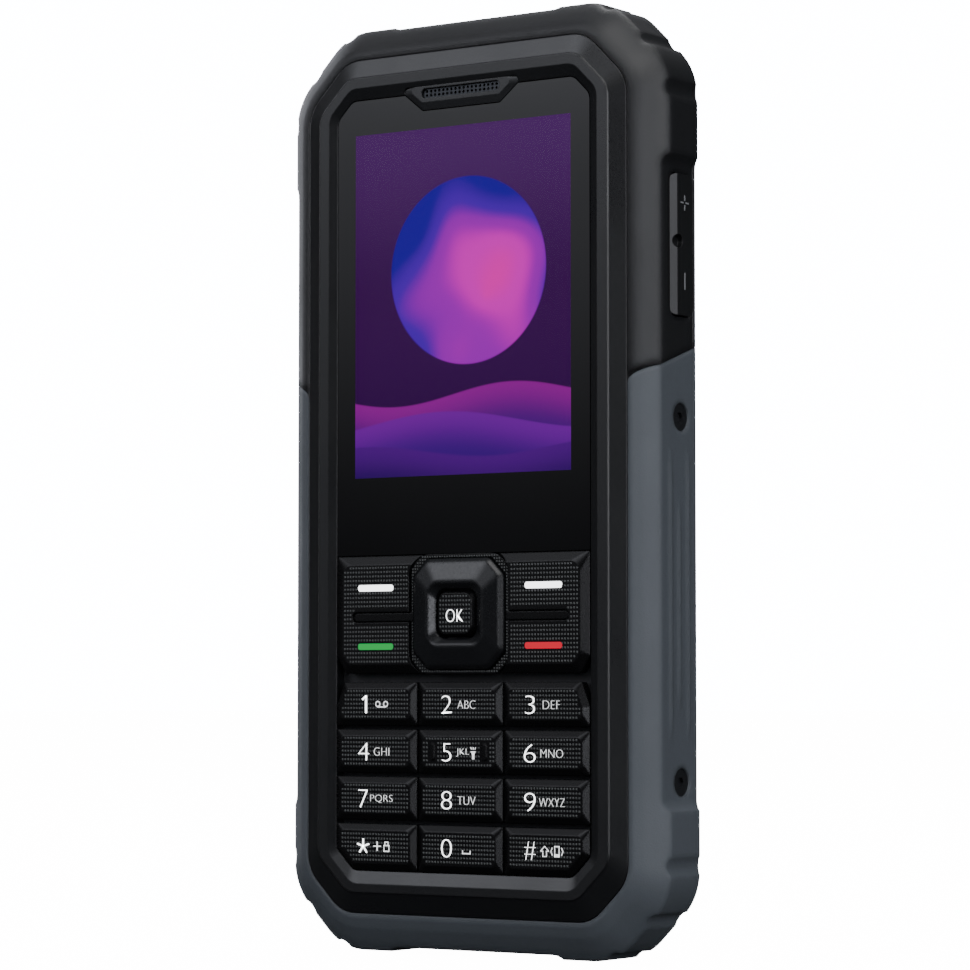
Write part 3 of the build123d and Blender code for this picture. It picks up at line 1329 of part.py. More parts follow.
SCREW_PLACES = [(side * HOUSING_SCREW_X, z) for side in (-1, 1) for z in HOUSING_SCREW_Z]
HEAD_SEAT = REAR_FACE_DEPTH - HOUSING_HEAD_SINK - HOUSING_HEAD_THICK
COIN_SEAT = BACK_DEPTH - COIN_HEAD_SINK - COIN_HEAD_THICK
COIN_END = COIN_SEAT - COIN_SHANK_LENGTH
MOTOR_DEPTH = REAR_WALL_DEPTH - WEIGHT_RADIUS - WEIGHT_GAP


def cover_seal_ring():
    """Ring of rubber round the mouth of the battery bay."""
    with BuildPart() as ring:
        outer, inner = 2 * (SEAL_EDGE + SEAL_WIDTH), 2 * SEAL_EDGE
        outer_radius, inner_radius = BATTERY_ROUND + outer / 2, BATTERY_ROUND + inner / 2
        front = COVER_DEPTH - SEAL_THICK
        add(slab(BAY_WIDTH + outer, BAY_HEIGHT + outer, 0, BAY_Z, COVER_DEPTH, front, outer_radius))
        add(
            slab(BAY_WIDTH + inner, BAY_HEIGHT + inner, 0, BAY_Z, COVER_DEPTH, front, inner_radius),
            mode=Mode.SUBTRACT,
        )
    return ring.part


def housing_seal_ring():
    """Ring of rubber between the two housings."""
    back = PARTING_DEPTH + HOUSING_SEAL_THICK
    outer = inset(BODY, HOUSING_SEAL_INSET)
    inner = inset(BODY, HOUSING_SEAL_INSET + HOUSING_SEAL_WIDTH)
    with BuildPart() as ring:
        extrude(outline_face(outer, back), amount=HOUSING_SEAL_THICK)
        extrude(outline_face(inner, back), amount=HOUSING_SEAL_THICK, mode=Mode.SUBTRACT)
    return ring.part


with BuildPart() as rear_housing:
    add(envelope.part)
    with BuildSketch(facing(PARTING_DEPTH)):
        with Locations((0, BODY.top / 2)):
            Rectangle(2 * BODY.half_width, BODY.top)
    extrude(amount=PARTING_DEPTH + RIM_PROUD, mode=Mode.SUBTRACT)
    add(shell_room, mode=Mode.SUBTRACT)
    add(hollow.part, mode=Mode.SUBTRACT)
    add(
        slab(
            BAY_WIDTH + 2 * BAY_WALL,
            BAY_HEIGHT + 2 * BAY_WALL,
            0,
            BAY_Z,
            REAR_WALL_DEPTH,
            BAY_DEPTH - BAY_FLOOR,
            BATTERY_ROUND,
        )
    )
    for x, z in COIN_PLACES:
        coin_boss = COIN_SHANK_RADIUS + SCREW_CLEAR + COIN_BOSS_WALL
        add(disc(coin_boss, x, z, REAR_WALL_DEPTH, COIN_END))
    for x, z in SCREW_PLACES:
        add(disc(HOUSING_BOSS_RADIUS, x, z, REAR_WALL_DEPTH, PARTING_DEPTH))
    saddle_half = MOTOR_RADIUS + BAY_WALL
    motor_x, motor_z = MOTOR_PLACE
    add(slab(MOTOR_LENGTH - 2 * BAY_WALL, 2 * saddle_half, motor_x, motor_z, REAR_WALL_DEPTH, MOTOR_DEPTH))
    add(slab(BAY_WIDTH, BAY_HEIGHT, 0, BAY_Z, BACK_DEPTH, BAY_DEPTH, BATTERY_ROUND), mode=Mode.SUBTRACT)
    add(
        slab(
            COVER_WIDTH + 2 * COVER_CLEAR,
            COVER_HEIGHT + 2 * COVER_CLEAR,
            0,
            COVER_Z,
            BACK_DEPTH,
            COVER_DEPTH,
            COVER_ROUND + COVER_CLEAR,
        ),
        mode=Mode.SUBTRACT,
    )
    add(cover_seal_ring(), mode=Mode.SUBTRACT)
    add(housing_seal_ring(), mode=Mode.SUBTRACT)
    for x, z in COIN_PLACES:
        add(disc(COIN_SHANK_RADIUS + SCREW_CLEAR, x, z, COVER_DEPTH, COIN_END), mode=Mode.SUBTRACT)
    for x, z in SCREW_PLACES:
        add(disc(HOUSING_HEAD_RADIUS + SCREW_CLEAR, x, z, BACK_DEPTH, HEAD_SEAT), mode=Mode.SUBTRACT)
        add(disc(HOUSING_SHANK_RADIUS + SCREW_CLEAR, x, z, BACK_DEPTH, PARTING_DEPTH), mode=Mode.SUBTRACT)
    with BuildSketch(beside(motor_x - MOTOR_LENGTH / 2)):
        with Locations((y_at(MOTOR_DEPTH), motor_z)):
            Circle(MOTOR_RADIUS + MOTOR_FIT)
    extrude(amount=MOTOR_LENGTH, mode=Mode.SUBTRACT)
    ring_seat = REAR_FACE_DEPTH - CAMERA_RING_SINK
    add(disc(CAMERA_RING_RADIUS + CAMERA_FIT, 0, CAMERA_Z, BACK_DEPTH, ring_seat), mode=Mode.SUBTRACT)
    add(disc(CAMERA_HOLE, 0, CAMERA_Z, BACK_DEPTH, REAR_WALL_DEPTH), mode=Mode.SUBTRACT)
    flash_z = CAMERA_Z - FLASH_DROP
    add(disc(FLASH_RADIUS + CAMERA_FIT, 0, flash_z, BACK_DEPTH, REAR_WALL_DEPTH), mode=Mode.SUBTRACT)
    with BuildSketch(facing(BACK_DEPTH)):
        with Locations((0, SPEAKER_Z)):
            with GridLocations(1, SPEAKER_SLOT_PITCH, 1, SPEAKER_SLOT_COUNT):
                SlotOverall(*SPEAKER_SLOT)
    extrude(amount=BACK_DEPTH - REAR_WALL_DEPTH, mode=Mode.SUBTRACT)
    bay_front = BAY_DEPTH - BAY_FLOOR
    add(
        slab(
            CONTACT_SPAN + 2 * CONTACT_GAP,
            CONTACT_THICK + 2 * CONTACT_GAP,
            0,
            CONTACT_Z,
            BAY_DEPTH,
            bay_front,
        ),
        mode=Mode.SUBTRACT,
    )
    add(
        slab(SIM_SIZE[0] + SIM_WINDOW, SIM_SIZE[1] + SIM_WINDOW, *SIM_PLACE, BAY_DEPTH, bay_front),
        mode=Mode.SUBTRACT,
    )
finish(rear_housing, "rear_housing")

with BuildPart() as housing_seal:
    add(housing_seal_ring())
finish(housing_seal, "housing_seal")

with BuildPart() as cover_seal:
    add(cover_seal_ring())
finish(cover_seal, "cover_seal")

# Battery, its contacts and its cover
with BuildPart() as battery:
    battery_z = BATTERY_LOW + BATTERY_HEIGHT / 2
    battery_back = BATTERY_DEPTH + BATTERY_THICK
    add(slab(BATTERY_WIDTH, BATTERY_HEIGHT, 0, battery_z, battery_back, BATTERY_DEPTH, BATTERY_ROUND))
finish(battery, "battery")

with BuildPart() as battery_contacts:
    base_back = bay_front - SHELL_FIT
    base_width = CONTACT_SPAN + 2 * CONTACT_BASE_EDGE
    add(slab(base_width, 4 * CONTACT_THICK, 0, CONTACT_Z, base_back, BOARD_BACK))
    for index in range(CONTACT_COUNT):
        x = (index - (CONTACT_COUNT - 1) / 2) * CONTACT_PITCH
        add(slab(CONTACT_WIDTH, CONTACT_THICK, x, CONTACT_Z, BAY_DEPTH + CONTACT_RISE, BOARD_BACK))
finish(battery_contacts, "battery_contacts")

with BuildPart() as battery_cover:
    add(slab(COVER_WIDTH, COVER_HEIGHT, 0, COVER_Z, BACK_DEPTH, COVER_DEPTH, COVER_ROUND))
    chamfer(battery_cover.faces().sort_by(Axis.Y)[-1].edges(), COVER_BEVEL)
    for x, z in COIN_PLACES:
        add(disc(COIN_SHANK_RADIUS + SCREW_CLEAR, x, z, BACK_DEPTH, COVER_DEPTH), mode=Mode.SUBTRACT)
        add(disc(COIN_HEAD_RADIUS + SCREW_CLEAR, x, z, BACK_DEPTH, COIN_SEAT), mode=Mode.SUBTRACT)
    add(
        slab(*NAIL_SLOT, 0, COVER_LOW, BACK_DEPTH, COVER_DEPTH + COVER_THICK / 2),
        mode=Mode.SUBTRACT,
    )
finish(battery_cover, "battery_cover")

for (x, z), label in zip(COIN_PLACES, ("cover_screw_left", "cover_screw_right")):
    with BuildPart() as cover_screw:
        add(disc(COIN_HEAD_RADIUS, x, z, COIN_SEAT + COIN_HEAD_THICK, COIN_SEAT))
        add(disc(COIN_SHANK_RADIUS, x, z, COIN_SEAT, COIN_END + SCREW_CLEAR))
        slot_back = COIN_SEAT + COIN_HEAD_THICK
        add(
            slab(2 * COIN_HEAD_RADIUS, COIN_SLOT, x, z, slot_back, slot_back - COIN_HEAD_THICK / 2),
            mode=Mode.SUBTRACT,
        )
    finish(cover_screw, label)

# Screws of the housings and of the lower shell
with BuildPart() as housing_screws:
    for x, z in SCREW_PLACES:
        head_back = HEAD_SEAT + HOUSING_HEAD_THICK
        add(disc(HOUSING_HEAD_RADIUS, x, z, head_back, HEAD_SEAT))
        add(disc(HOUSING_SHANK_RADIUS, x, z, HEAD_SEAT, HOUSING_SCREW_END))
        with BuildSketch(facing(head_back)):
            with Locations((x, z)):
                RegularPolygon(SCREW_SOCKET, 6)
        extrude(amount=HOUSING_HEAD_THICK / 2, mode=Mode.SUBTRACT)
finish(housing_screws, "housing_screws")

with BuildPart() as side_screws:
    for side in (-1, 1):
        places = [(side * y_at(SIDE_SCREW_DEPTH), z) for z in SIDE_SCREW_Z]
        head_face = side * (SIDE_FACE - SIDE_HEAD_SINK)
        with BuildSketch(beside(head_face, side)):
            with Locations(*places):
                Circle(SIDE_HEAD_RADIUS)
        extrude(amount=-SIDE_HEAD_THICK)
        with BuildSketch(beside(head_face, side)):
            with Locations(*places):
                Circle(SIDE_SHANK_RADIUS)
        extrude(amount=-SIDE_SCREW_LENGTH)
        with BuildSketch(beside(head_face, side)):
            with Locations(*places):
                RegularPolygon(SIDE_SOCKET, 6)
        extrude(amount=-SIDE_SOCKET_DEPTH, mode=Mode.SUBTRACT)
finish(side_screws, "side_screws")

# Volume key and the switch behind it
with BuildPart() as volume_key:
    volume_face = SIDE_FACE + VOLUME_PROUD
    volume_front = volume_y - VOLUME_WIDTH / 2
    with BuildSketch(beside(volume_face)):
        with Locations((volume_y, VOLUME_Z)):
            RectangleRounded(VOLUME_WIDTH, VOLUME_LENGTH, VOLUME_CORNER)
    extrude(amount=-VOLUME_THICK)
    with BuildSketch(Plane.XY.offset(VOLUME_Z - VOLUME_LENGTH / 2)):
        with BuildLine():
            Polyline(
                (volume_face, volume_front + VOLUME_STRIP),
                (volume_face - 2 * VOLUME_STRIP_DROP, volume_front - VOLUME_STRIP),
                (volume_face, volume_front - VOLUME_STRIP),
                close=True,
            )
        make_face()
    extrude(amount=VOLUME_LENGTH, mode=Mode.SUBTRACT)
    with BuildSketch(beside(volume_face)):
        with Locations((volume_front + VOLUME_NOTCH_IN, VOLUME_Z + VOLUME_NOTCH_UP)):
            Circle(VOLUME_NOTCH)
    extrude(amount=-VOLUME_STRIP_DROP, mode=Mode.SUBTRACT)
    with BuildSketch(beside(volume_face - VOLUME_THICK)):
        with Locations((volume_y, VOLUME_Z - VOLUME_NUB_PLACE), (volume_y, VOLUME_Z + VOLUME_NUB_PLACE)):
            Circle(VOLUME_NUB_RADIUS)
    extrude(amount=-VOLUME_NUB_LENGTH)
finish(volume_key, "volume_key")

with BuildPart() as volume_switch:
    switch_face = volume_face - VOLUME_THICK - VOLUME_NUB_LENGTH - SWITCH_GAP
    plate_face = switch_face - SWITCH_THICK
    with BuildSketch(beside(plate_face)):
        with Locations((volume_y, VOLUME_Z)):
            Rectangle(SWITCH_SIZE[0], 2 * SWITCH_SPAN)
    extrude(amount=-SWITCH_PLATE)
    with BuildSketch(beside(plate_face)):
        with Locations((volume_y, VOLUME_Z - VOLUME_NUB_PLACE), (volume_y, VOLUME_Z + VOLUME_NUB_PLACE)):
            Rectangle(*SWITCH_SIZE)
    extrude(amount=SWITCH_THICK)
    foot_place = SWITCH_SPAN - SWITCH_FOOT / 2
    with BuildSketch(beside(plate_face)):
        with Locations((volume_y, VOLUME_Z - foot_place), (volume_y, VOLUME_Z + foot_place)):
            Rectangle(SWITCH_SIZE[0], SWITCH_FOOT)
    extrude(amount=HOLLOW.half_width - plate_face)
finish(volume_switch, "volume_switch")

# Camera, flash and loudspeaker at the rear
with BuildPart() as camera_ring:
    ring_front = ring_seat
    ring_back = BACK_DEPTH - CAMERA_FIT
    add(disc(CAMERA_RING_RADIUS, 0, CAMERA_Z, ring_back, ring_front))
    add(disc(CAMERA_RING_RADIUS - CAMERA_RING_WALL, 0, CAMERA_Z, ring_back, ring_front), mode=Mode.SUBTRACT)
    chamfer(camera_ring.faces().sort_by(Axis.Y)[-1].edges(), CAMERA_RING_BEVEL)
finish(camera_ring, "camera_ring")

with BuildPart() as camera_glass:
    glass_radius = CAMERA_RING_RADIUS - CAMERA_RING_WALL - CAMERA_FIT
    add(disc(glass_radius, 0, CAMERA_Z, ring_front + CAMERA_GLASS_THICK, ring_front))
finish(camera_glass, "camera_glass")

with BuildPart() as camera_module:
    body_side, body_deep = CAMERA_BODY
    add(slab(body_side, body_side, 0, CAMERA_Z, REAR_WALL_DEPTH, REAR_WALL_DEPTH - body_deep))
    add(disc(CAMERA_HOLE - CAMERA_BARREL_GAP, 0, CAMERA_Z, ring_front - CAMERA_FIT, REAR_WALL_DEPTH))
finish(camera_module, "camera_module")

with BuildPart() as flash_led:
    add(disc(FLASH_RADIUS, 0, flash_z, REAR_FACE_DEPTH, REAR_WALL_DEPTH))
    add(disc(FLASH_RADIUS + FLASH_FLANGE, 0, flash_z, REAR_WALL_DEPTH, REAR_WALL_DEPTH - FLASH_FLANGE))
finish(flash_led, "flash_led")

with BuildPart() as loudspeaker:
    speaker_front = REAR_WALL_DEPTH - SPEAKER_SIZE[2]
    add(slab(*SPEAKER_SIZE[:2], 0, SPEAKER_Z, REAR_WALL_DEPTH, speaker_front, SPEAKER_ROUND))
finish(loudspeaker, "loudspeaker")

# Vibration motor with its half-round weight
with BuildPart() as vibration_motor:
    motor_end = motor_x + MOTOR_LENGTH / 2
    with BuildSketch(beside(motor_end)):
        with Locations((y_at(MOTOR_DEPTH), motor_z)):
            Circle(MOTOR_RADIUS)
    extrude(amount=-MOTOR_LENGTH)
    with BuildSketch(beside(motor_end)):
        with Locations((y_at(MOTOR_DEPTH), motor_z)):
            Circle(MOTOR_SHAFT_RADIUS)
    extrude(amount=MOTOR_SHAFT_LENGTH)
finish(vibration_motor, "vibration_motor")

with BuildPart() as motor_weight:
    with BuildSketch(beside(motor_end + WEIGHT_GAP)):
        with Locations((y_at(MOTOR_DEPTH), motor_z)):
            Circle(WEIGHT_RADIUS)
            with Locations((0, WEIGHT_RADIUS)):
                Rectangle(2 * WEIGHT_RADIUS, 2 * WEIGHT_RADIUS - 2 * WEIGHT_CUT, mode=Mode.SUBTRACT)
            Circle(WEIGHT_HUB)
            Circle(MOTOR_SHAFT_RADIUS + WEIGHT_BORE_CLEAR, mode=Mode.SUBTRACT)
    extrude(amount=WEIGHT_LENGTH)
finish(motor_weight, "motor_weight")
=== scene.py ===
"""Dresses a rugged keypad telephone: finishes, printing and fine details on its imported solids, in metres."""

import logging
import math
from collections import defaultdict
from collections.abc import Iterable
from dataclasses import dataclass
from enum import Enum

import bpy
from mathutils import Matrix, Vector


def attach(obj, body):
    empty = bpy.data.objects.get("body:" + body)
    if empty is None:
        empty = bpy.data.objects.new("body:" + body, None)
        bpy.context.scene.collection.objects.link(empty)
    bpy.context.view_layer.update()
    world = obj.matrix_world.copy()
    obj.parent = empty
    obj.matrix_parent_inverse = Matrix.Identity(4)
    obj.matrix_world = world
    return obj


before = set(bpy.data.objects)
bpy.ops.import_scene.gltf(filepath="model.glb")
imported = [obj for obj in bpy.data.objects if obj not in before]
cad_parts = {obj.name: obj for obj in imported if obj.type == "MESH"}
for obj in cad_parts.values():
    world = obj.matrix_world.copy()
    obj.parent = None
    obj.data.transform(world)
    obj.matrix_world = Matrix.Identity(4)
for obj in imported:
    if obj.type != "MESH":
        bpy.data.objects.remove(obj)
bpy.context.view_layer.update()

LOG = logging.getLogger("telephone")
MM = 0.001
BOTH_SIDES = (-1, 1)
GLASS_FACE = -6.9
"""Y of the front of the cover glass, in millimetres: depths are counted backwards from it."""

Piece = bpy.types.Object
Node = bpy.types.Node
Socket = bpy.types.NodeSocket
Tree = bpy.types.NodeTree
Colour = tuple[float, float, float, float]
Place = tuple[float, float, float]
Span = tuple[float, float]
Outline = list[tuple[float, float]]


def y_at(depth: float) -> float:
    """Give the Y, in metres, of the plane at a depth in millimetres behind the face of the glass."""
    return (GLASS_FACE + depth) * MM


def linear(code: str) -> Colour:
    """Turn a colour into the linear values that the shaders take.

    Args:
        code: The colour as six sRGB hex digits.

    Returns:
        Red, green, blue and alpha, linear.
    """
    parts = [int(code[start:start + 2], 16) / 255 for start in (0, 2, 4)]
    red, green, blue = (p / 12.92 if p <= 0.04045 else ((p + 0.055) / 1.055) ** 2.4 for p in parts)
    return red, green, blue, 1.0


def add_node(tree: Tree, kind: str, inputs: dict | None = None, **settings: object) -> Node:
    """Add one shader node.

    Args:
        tree: The node tree that gets it.
        kind: Blender's name for the kind of node.
        inputs: For each input, by name or number, a value or the output that feeds it.
        **settings: The node's own settings.

    Returns:
        The new node.
    """
    made = tree.nodes.new(kind)
    for name, value in settings.items():
        setattr(made, name, value)
    for name, value in (inputs or {}).items():
        if isinstance(value, Socket):
            tree.links.new(value, made.inputs[name])
        else:
            made.inputs[name].default_value = value
    return made


def compute(tree: Tree, operation: str, *values: Socket | float) -> Socket:
    """Add one step of arithmetic on numbers or outputs, and give the output with its result."""
    return add_node(tree, "ShaderNodeMath", dict(enumerate(values)), operation=operation).outputs[0]


def carry(
    tree: Tree, value: Socket, low: float, high: float, first: float = 0.0, last: float = 1.0
) -> Socket:
    """Carry a value from the range low to high over to the range first to last, held at its ends."""
    return add_node(tree, "ShaderNodeMapRange", {0: value, 1: low, 2: high, 3: first, 4: last}).outputs[0]


def mix(tree: Tree, share: Socket, first: Socket | Colour, second: Socket | Colour) -> Socket:
    """Mix two colours, where the share, from 0 to 1, says how much of the second one there is."""
    return add_node(tree, "ShaderNodeMix", {0: share, 6: first, 7: second}, data_type="RGBA").outputs[2]


def noise(tree: Tree, place: Socket, scale: float, detail: float = 2.0) -> Socket:
    """Add noise from 0 to 1: so many swells to a unit of length, with finer layers of detail over them."""
    inputs = {"Vector": place, "Scale": scale, "Detail": detail}
    return add_node(tree, "ShaderNodeTexNoise", inputs).outputs["Fac"]


def surface_place(tree: Tree) -> Socket:
    """Give the point of the surface that is coloured, in object coordinates."""
    return add_node(tree, "ShaderNodeTexCoord").outputs["Object"]


def seen_directly(tree: Tree) -> Socket:
    """Give 1 where the camera looks straight at a surface, and 0 in every reflection."""
    return add_node(tree, "ShaderNodeLightPath").outputs["Is Camera Ray"]


@dataclass(frozen=True)
class Finish:
    """What every finish has: a name, a colour and how it takes the light."""

    name: str
    colour: str
    roughness: float = 0.5
    metallic: float = 0.0
    ior: float = 1.5

    def material(self) -> bpy.types.Material:
        """Return the finish's material, made the first time it is asked for."""
        known = bpy.data.materials.get(self.name)
        if known:
            return known
        made = bpy.data.materials.new(self.name)
        made.use_nodes = True
        shader = made.node_tree.nodes["Principled BSDF"]
        shader.inputs["Base Color"].default_value = linear(self.colour)
        shader.inputs["Roughness"].default_value = self.roughness
        shader.inputs["Metallic"].default_value = self.metallic
        if not self.metallic:
            shader.inputs["IOR"].default_value = self.ior
        self.texture(made.node_tree, shader)
        return made

    def texture(self, tree: Tree, shader: Node) -> None:
        """Add the pattern of the surface; the plain finish has none."""


@dataclass(frozen=True)
class Moulded(Finish):
    """Moulded plastic or rubber: the mould's spark-eroded grain, and faint clouds in colour and gloss."""

    shade: str = "000000"
    shade_most: float = 0.4
    grain_mm: float = 0.16
    grain_deep_mm: float = 0.012
    cloud_mm: float = 14.0
    cloud_range: Span = (0.35, 0.75)
    gloss_range: Span = (0.7, 1.3)
    """Levels of the noise between which the colour and the gloss change."""
    gloss_spread: float = 0.05
    edge_mm: float = 0.15
    """Radius to which the shading softens the edges."""

    def texture(self, tree: Tree, shader: Node) -> None:
        """Add grain, clouds and softened edges.

        Args:
            tree: The material's node tree.
            shader: The material's surface shader.
        """
        place = surface_place(tree)
        fine = noise(tree, place, 1 / (self.grain_mm * MM))
        broad = noise(tree, place, 1 / (self.cloud_mm * MM))
        share = carry(tree, broad, *self.cloud_range, 0.0, self.shade_most)
        colour = mix(tree, share, linear(self.colour), linear(self.shade))
        low, high = self.roughness - self.gloss_spread, self.roughness + self.gloss_spread
        gloss = carry(tree, compute(tree, "ADD", fine, broad), *self.gloss_range, low, high)
        soft = add_node(tree, "ShaderNodeBevel", {"Radius": self.edge_mm * MM}, samples=4).outputs["Normal"]
        relief = {"Height": fine, "Distance": self.grain_deep_mm * MM, "Normal": soft}
        bump = add_node(tree, "ShaderNodeBump", relief)
        tree.links.new(colour, shader.inputs["Base Color"])
        tree.links.new(gloss, shader.inputs["Roughness"])
        tree.links.new(bump.outputs["Normal"], shader.inputs["Normal"])


@dataclass(frozen=True)
class Drawn(Finish):
    """Rolled, drawn or turned metal: faint lines along one axis."""

    metallic: float = 1.0
    along: Place = (1.0, 1.0, 12.0)
    line_mm: float = 1.0
    """Length of a line; the lines lie a twelfth of it apart."""
    line_deep_mm: float = 0.004
    line_range: Span = (0.3, 0.7)
    rougher: Span = (-0.08, 0.1)
    """How much rougher the metal is at the two ends of the range."""

    def texture(self, tree: Tree, shader: Node) -> None:
        """Add the lines that the tool leaves.

        Args:
            tree: The material's node tree.
            shader: The material's surface shader.
        """
        scaled = {"Vector": surface_place(tree), "Scale": self.along}
        drawn = add_node(tree, "ShaderNodeMapping", scaled).outputs[0]
        lines = noise(tree, drawn, 1 / (self.line_mm * MM), 3.0)
        low, high = (self.roughness + change for change in self.rougher)
        gloss = carry(tree, lines, *self.line_range, low, high)
        bump = add_node(tree, "ShaderNodeBump", {"Height": lines, "Distance": self.line_deep_mm * MM})
        tree.links.new(gloss, shader.inputs["Roughness"])
        tree.links.new(bump.outputs["Normal"], shader.inputs["Normal"])


@dataclass(frozen=True)
class Window:
    """A rectangle across the telephone, in millimetres."""

    half_width: float
    low: float
    high: float

    def inside(self, tree: Tree, place: Socket) -> tuple[Socket, Socket, Socket]:
        """Find where a point lies in the rectangle.

        Args:
            tree: The material's node tree.
            place: The point, in object coordinates.

        Returns:
            1 inside and 0 outside, the X and the Z from the middle, both in half widths of the rectangle.
        """
        split = add_node(tree, "ShaderNodeSeparateXYZ", {0: place})
        half = self.half_width * MM
        across = compute(tree, "DIVIDE", split.outputs["X"], half)
        lifted = compute(tree, "SUBTRACT", split.outputs["Z"], (self.low + self.high) / 2 * MM)
        up = compute(tree, "DIVIDE", lifted, half)
        limits = ((across, 1.0), (up, (self.high - self.low) / 2 / self.half_width))
        tests = [
            compute(tree, "LESS_THAN", compute(tree, "ABSOLUTE", value), limit) for value, limit in limits
        ]
        return compute(tree, "MULTIPLY", *tests), across, up


LIT_AREA = Window(18.36, 66.75, 115.71)
"""The part of the display that lights up."""
PICTURE = Window(19.6, 65.5, 116.9)
"""The picture on the panel, which runs on a little behind the border of the glass."""


@dataclass(frozen=True)
class CoverGlass(Finish):
    """Polished glass, printed black behind its border and clear over the lit area."""

    clear_alpha: float = 0.05
    smear_scale: float = 90.0
    smear_range: Span = (0.4, 0.7)
    smear_gloss: Span = (0.8, 1.3)
    skin: float = 0.2
    """Depth in millimetres past which a point is on the rear face, where the border begins further out."""

    def texture(self, tree: Tree, shader: Node) -> None:
        """Leave the glass clear over the lit area, with the faintest smear in its gloss.

        Args:
            tree: The material's node tree.
            shader: The material's surface shader.
        """
        place = surface_place(tree)
        inside, _, _ = LIT_AREA.inside(tree, place)
        wider, _, _ = PICTURE.inside(tree, place)
        depth = add_node(tree, "ShaderNodeSeparateXYZ", {0: place}).outputs["Y"]
        behind = compute(tree, "GREATER_THAN", depth, y_at(self.skin))
        clear = compute(tree, "MAXIMUM", inside, compute(tree, "MULTIPLY", wider, behind))
        alpha = carry(tree, clear, 0.0, 1.0, 1.0, self.clear_alpha)
        smear = noise(tree, place, self.smear_scale, 4.0)
        low, high = (self.roughness * factor for factor in self.smear_gloss)
        gloss = carry(tree, smear, *self.smear_range, low, high)
        tree.links.new(alpha, shader.inputs["Alpha"])
        tree.links.new(gloss, shader.inputs["Roughness"])


@dataclass(frozen=True)
class Wave:
    """One rolling wave of the picture: its lengths are in half widths of the picture."""

    level: float
    swing: float
    turns: float
    """Radians that it runs through in a half width."""
    phase: float
    cover: float
    """How much it hides of what lies behind it, from 0 to 1."""
    colours: tuple[str, ...]
    """From its foot to its crest."""


@dataclass(frozen=True)
class LitPanel(Finish):
    """The lit display: a violet sky, a glowing disc and three rolling waves below it."""

    glow: float = 1.0
    sky_reach: float = 1.33
    sky: tuple[str, ...] = ("300646", "3c1050", "502766")
    disc_radius: float = 0.68
    disc_up: float = 0.22
    disc: tuple[str, ...] = ("ff00b8", "e800cc", "a400c0", "5000b4", "2c0098")
    disc_range: Span = (0.5, 1.35)
    glow_middle: tuple[float, float] = (0.16, -0.2)
    swirl: tuple[float, float] = (1.6, 0.9)
    """Scale and strength of the noise that bends the disc's colours."""
    edge: float = 0.012
    """Width of the soft edge of the disc and of each wave."""
    fade: float = 0.6
    """How far below its crest a wave has reached the colour of its foot."""
    waves: tuple[Wave, ...] = (
        Wave(-0.66, 0.07, 3.1, 0.4, 0.8, ("2c0658", "560a86", "9c0c9c")),
        Wave(-0.86, 0.08, 2.4, 2.1, 0.9, ("200450", "40067e", "7408a0")),
        Wave(-1.06, 0.05, 2.9, 4.2, 1.0, ("160238", "2a065c", "500880")),
    )

    def texture(self, tree: Tree, shader: Node) -> None:
        """Draw the picture as light.

        Args:
            tree: The material's node tree.
            shader: The material's surface shader.
        """
        inside, across, up = PICTURE.inside(tree, surface_place(tree))
        sky = self.ramp(tree, up, -self.sky_reach, self.sky_reach, self.sky)
        lifted = compute(tree, "SUBTRACT", up, self.disc_up)
        flat = add_node(tree, "ShaderNodeCombineXYZ", {0: across, 1: lifted}).outputs[0]
        reach = add_node(tree, "ShaderNodeVectorMath", {0: flat}, operation="LENGTH").outputs["Value"]
        ends = {0: flat, 1: (*self.glow_middle, 0.0)}
        apart = add_node(tree, "ShaderNodeVectorMath", ends, operation="DISTANCE").outputs["Value"]
        scale, strength = self.swirl
        turned = compute(tree, "MULTIPLY_ADD", noise(tree, flat, scale, 0.0), strength, apart)
        disc = self.ramp(tree, turned, *self.disc_range, self.disc)
        within = carry(tree, reach, self.disc_radius, self.disc_radius - self.edge)
        picture = mix(tree, within, sky, disc)
        for wave in self.waves:
            angle = compute(tree, "MULTIPLY_ADD", across, wave.turns, wave.phase)
            crest = compute(tree, "MULTIPLY_ADD", compute(tree, "SINE", angle), wave.swing, wave.level)
            below = compute(tree, "SUBTRACT", crest, up)
            share = carry(tree, below, 0.0, self.edge, 0.0, wave.cover)
            picture = mix(tree, share, picture, self.ramp(tree, below, self.fade, 0.0, wave.colours))
        shown = mix(tree, inside, linear(self.colour), picture)
        tree.links.new(shown, shader.inputs["Emission Color"])
        shader.inputs["Emission Strength"].default_value = self.glow

    @staticmethod
    def ramp(tree: Tree, value: Socket, low: float, high: float, colours: tuple[str, ...]) -> Socket:
        """Run through colours as a value grows.

        Args:
            tree: The material's node tree.
            value: The value that picks the colour.
            low: The value at the first colour.
            high: The value at the last colour.
            colours: The colours, as hex digits.

        Returns:
            The colour at the value.
        """
        made = add_node(tree, "ShaderNodeValToRGB", {0: carry(tree, value, low, high)})
        made.color_ramp.interpolation = "EASE"
        stops = made.color_ramp.elements
        while len(stops) < len(colours):
            stops.new(0.5)
        for index, code in enumerate(colours):
            stops[index].position = index / (len(colours) - 1)
            stops[index].color = linear(code)
        return made.outputs["Color"]


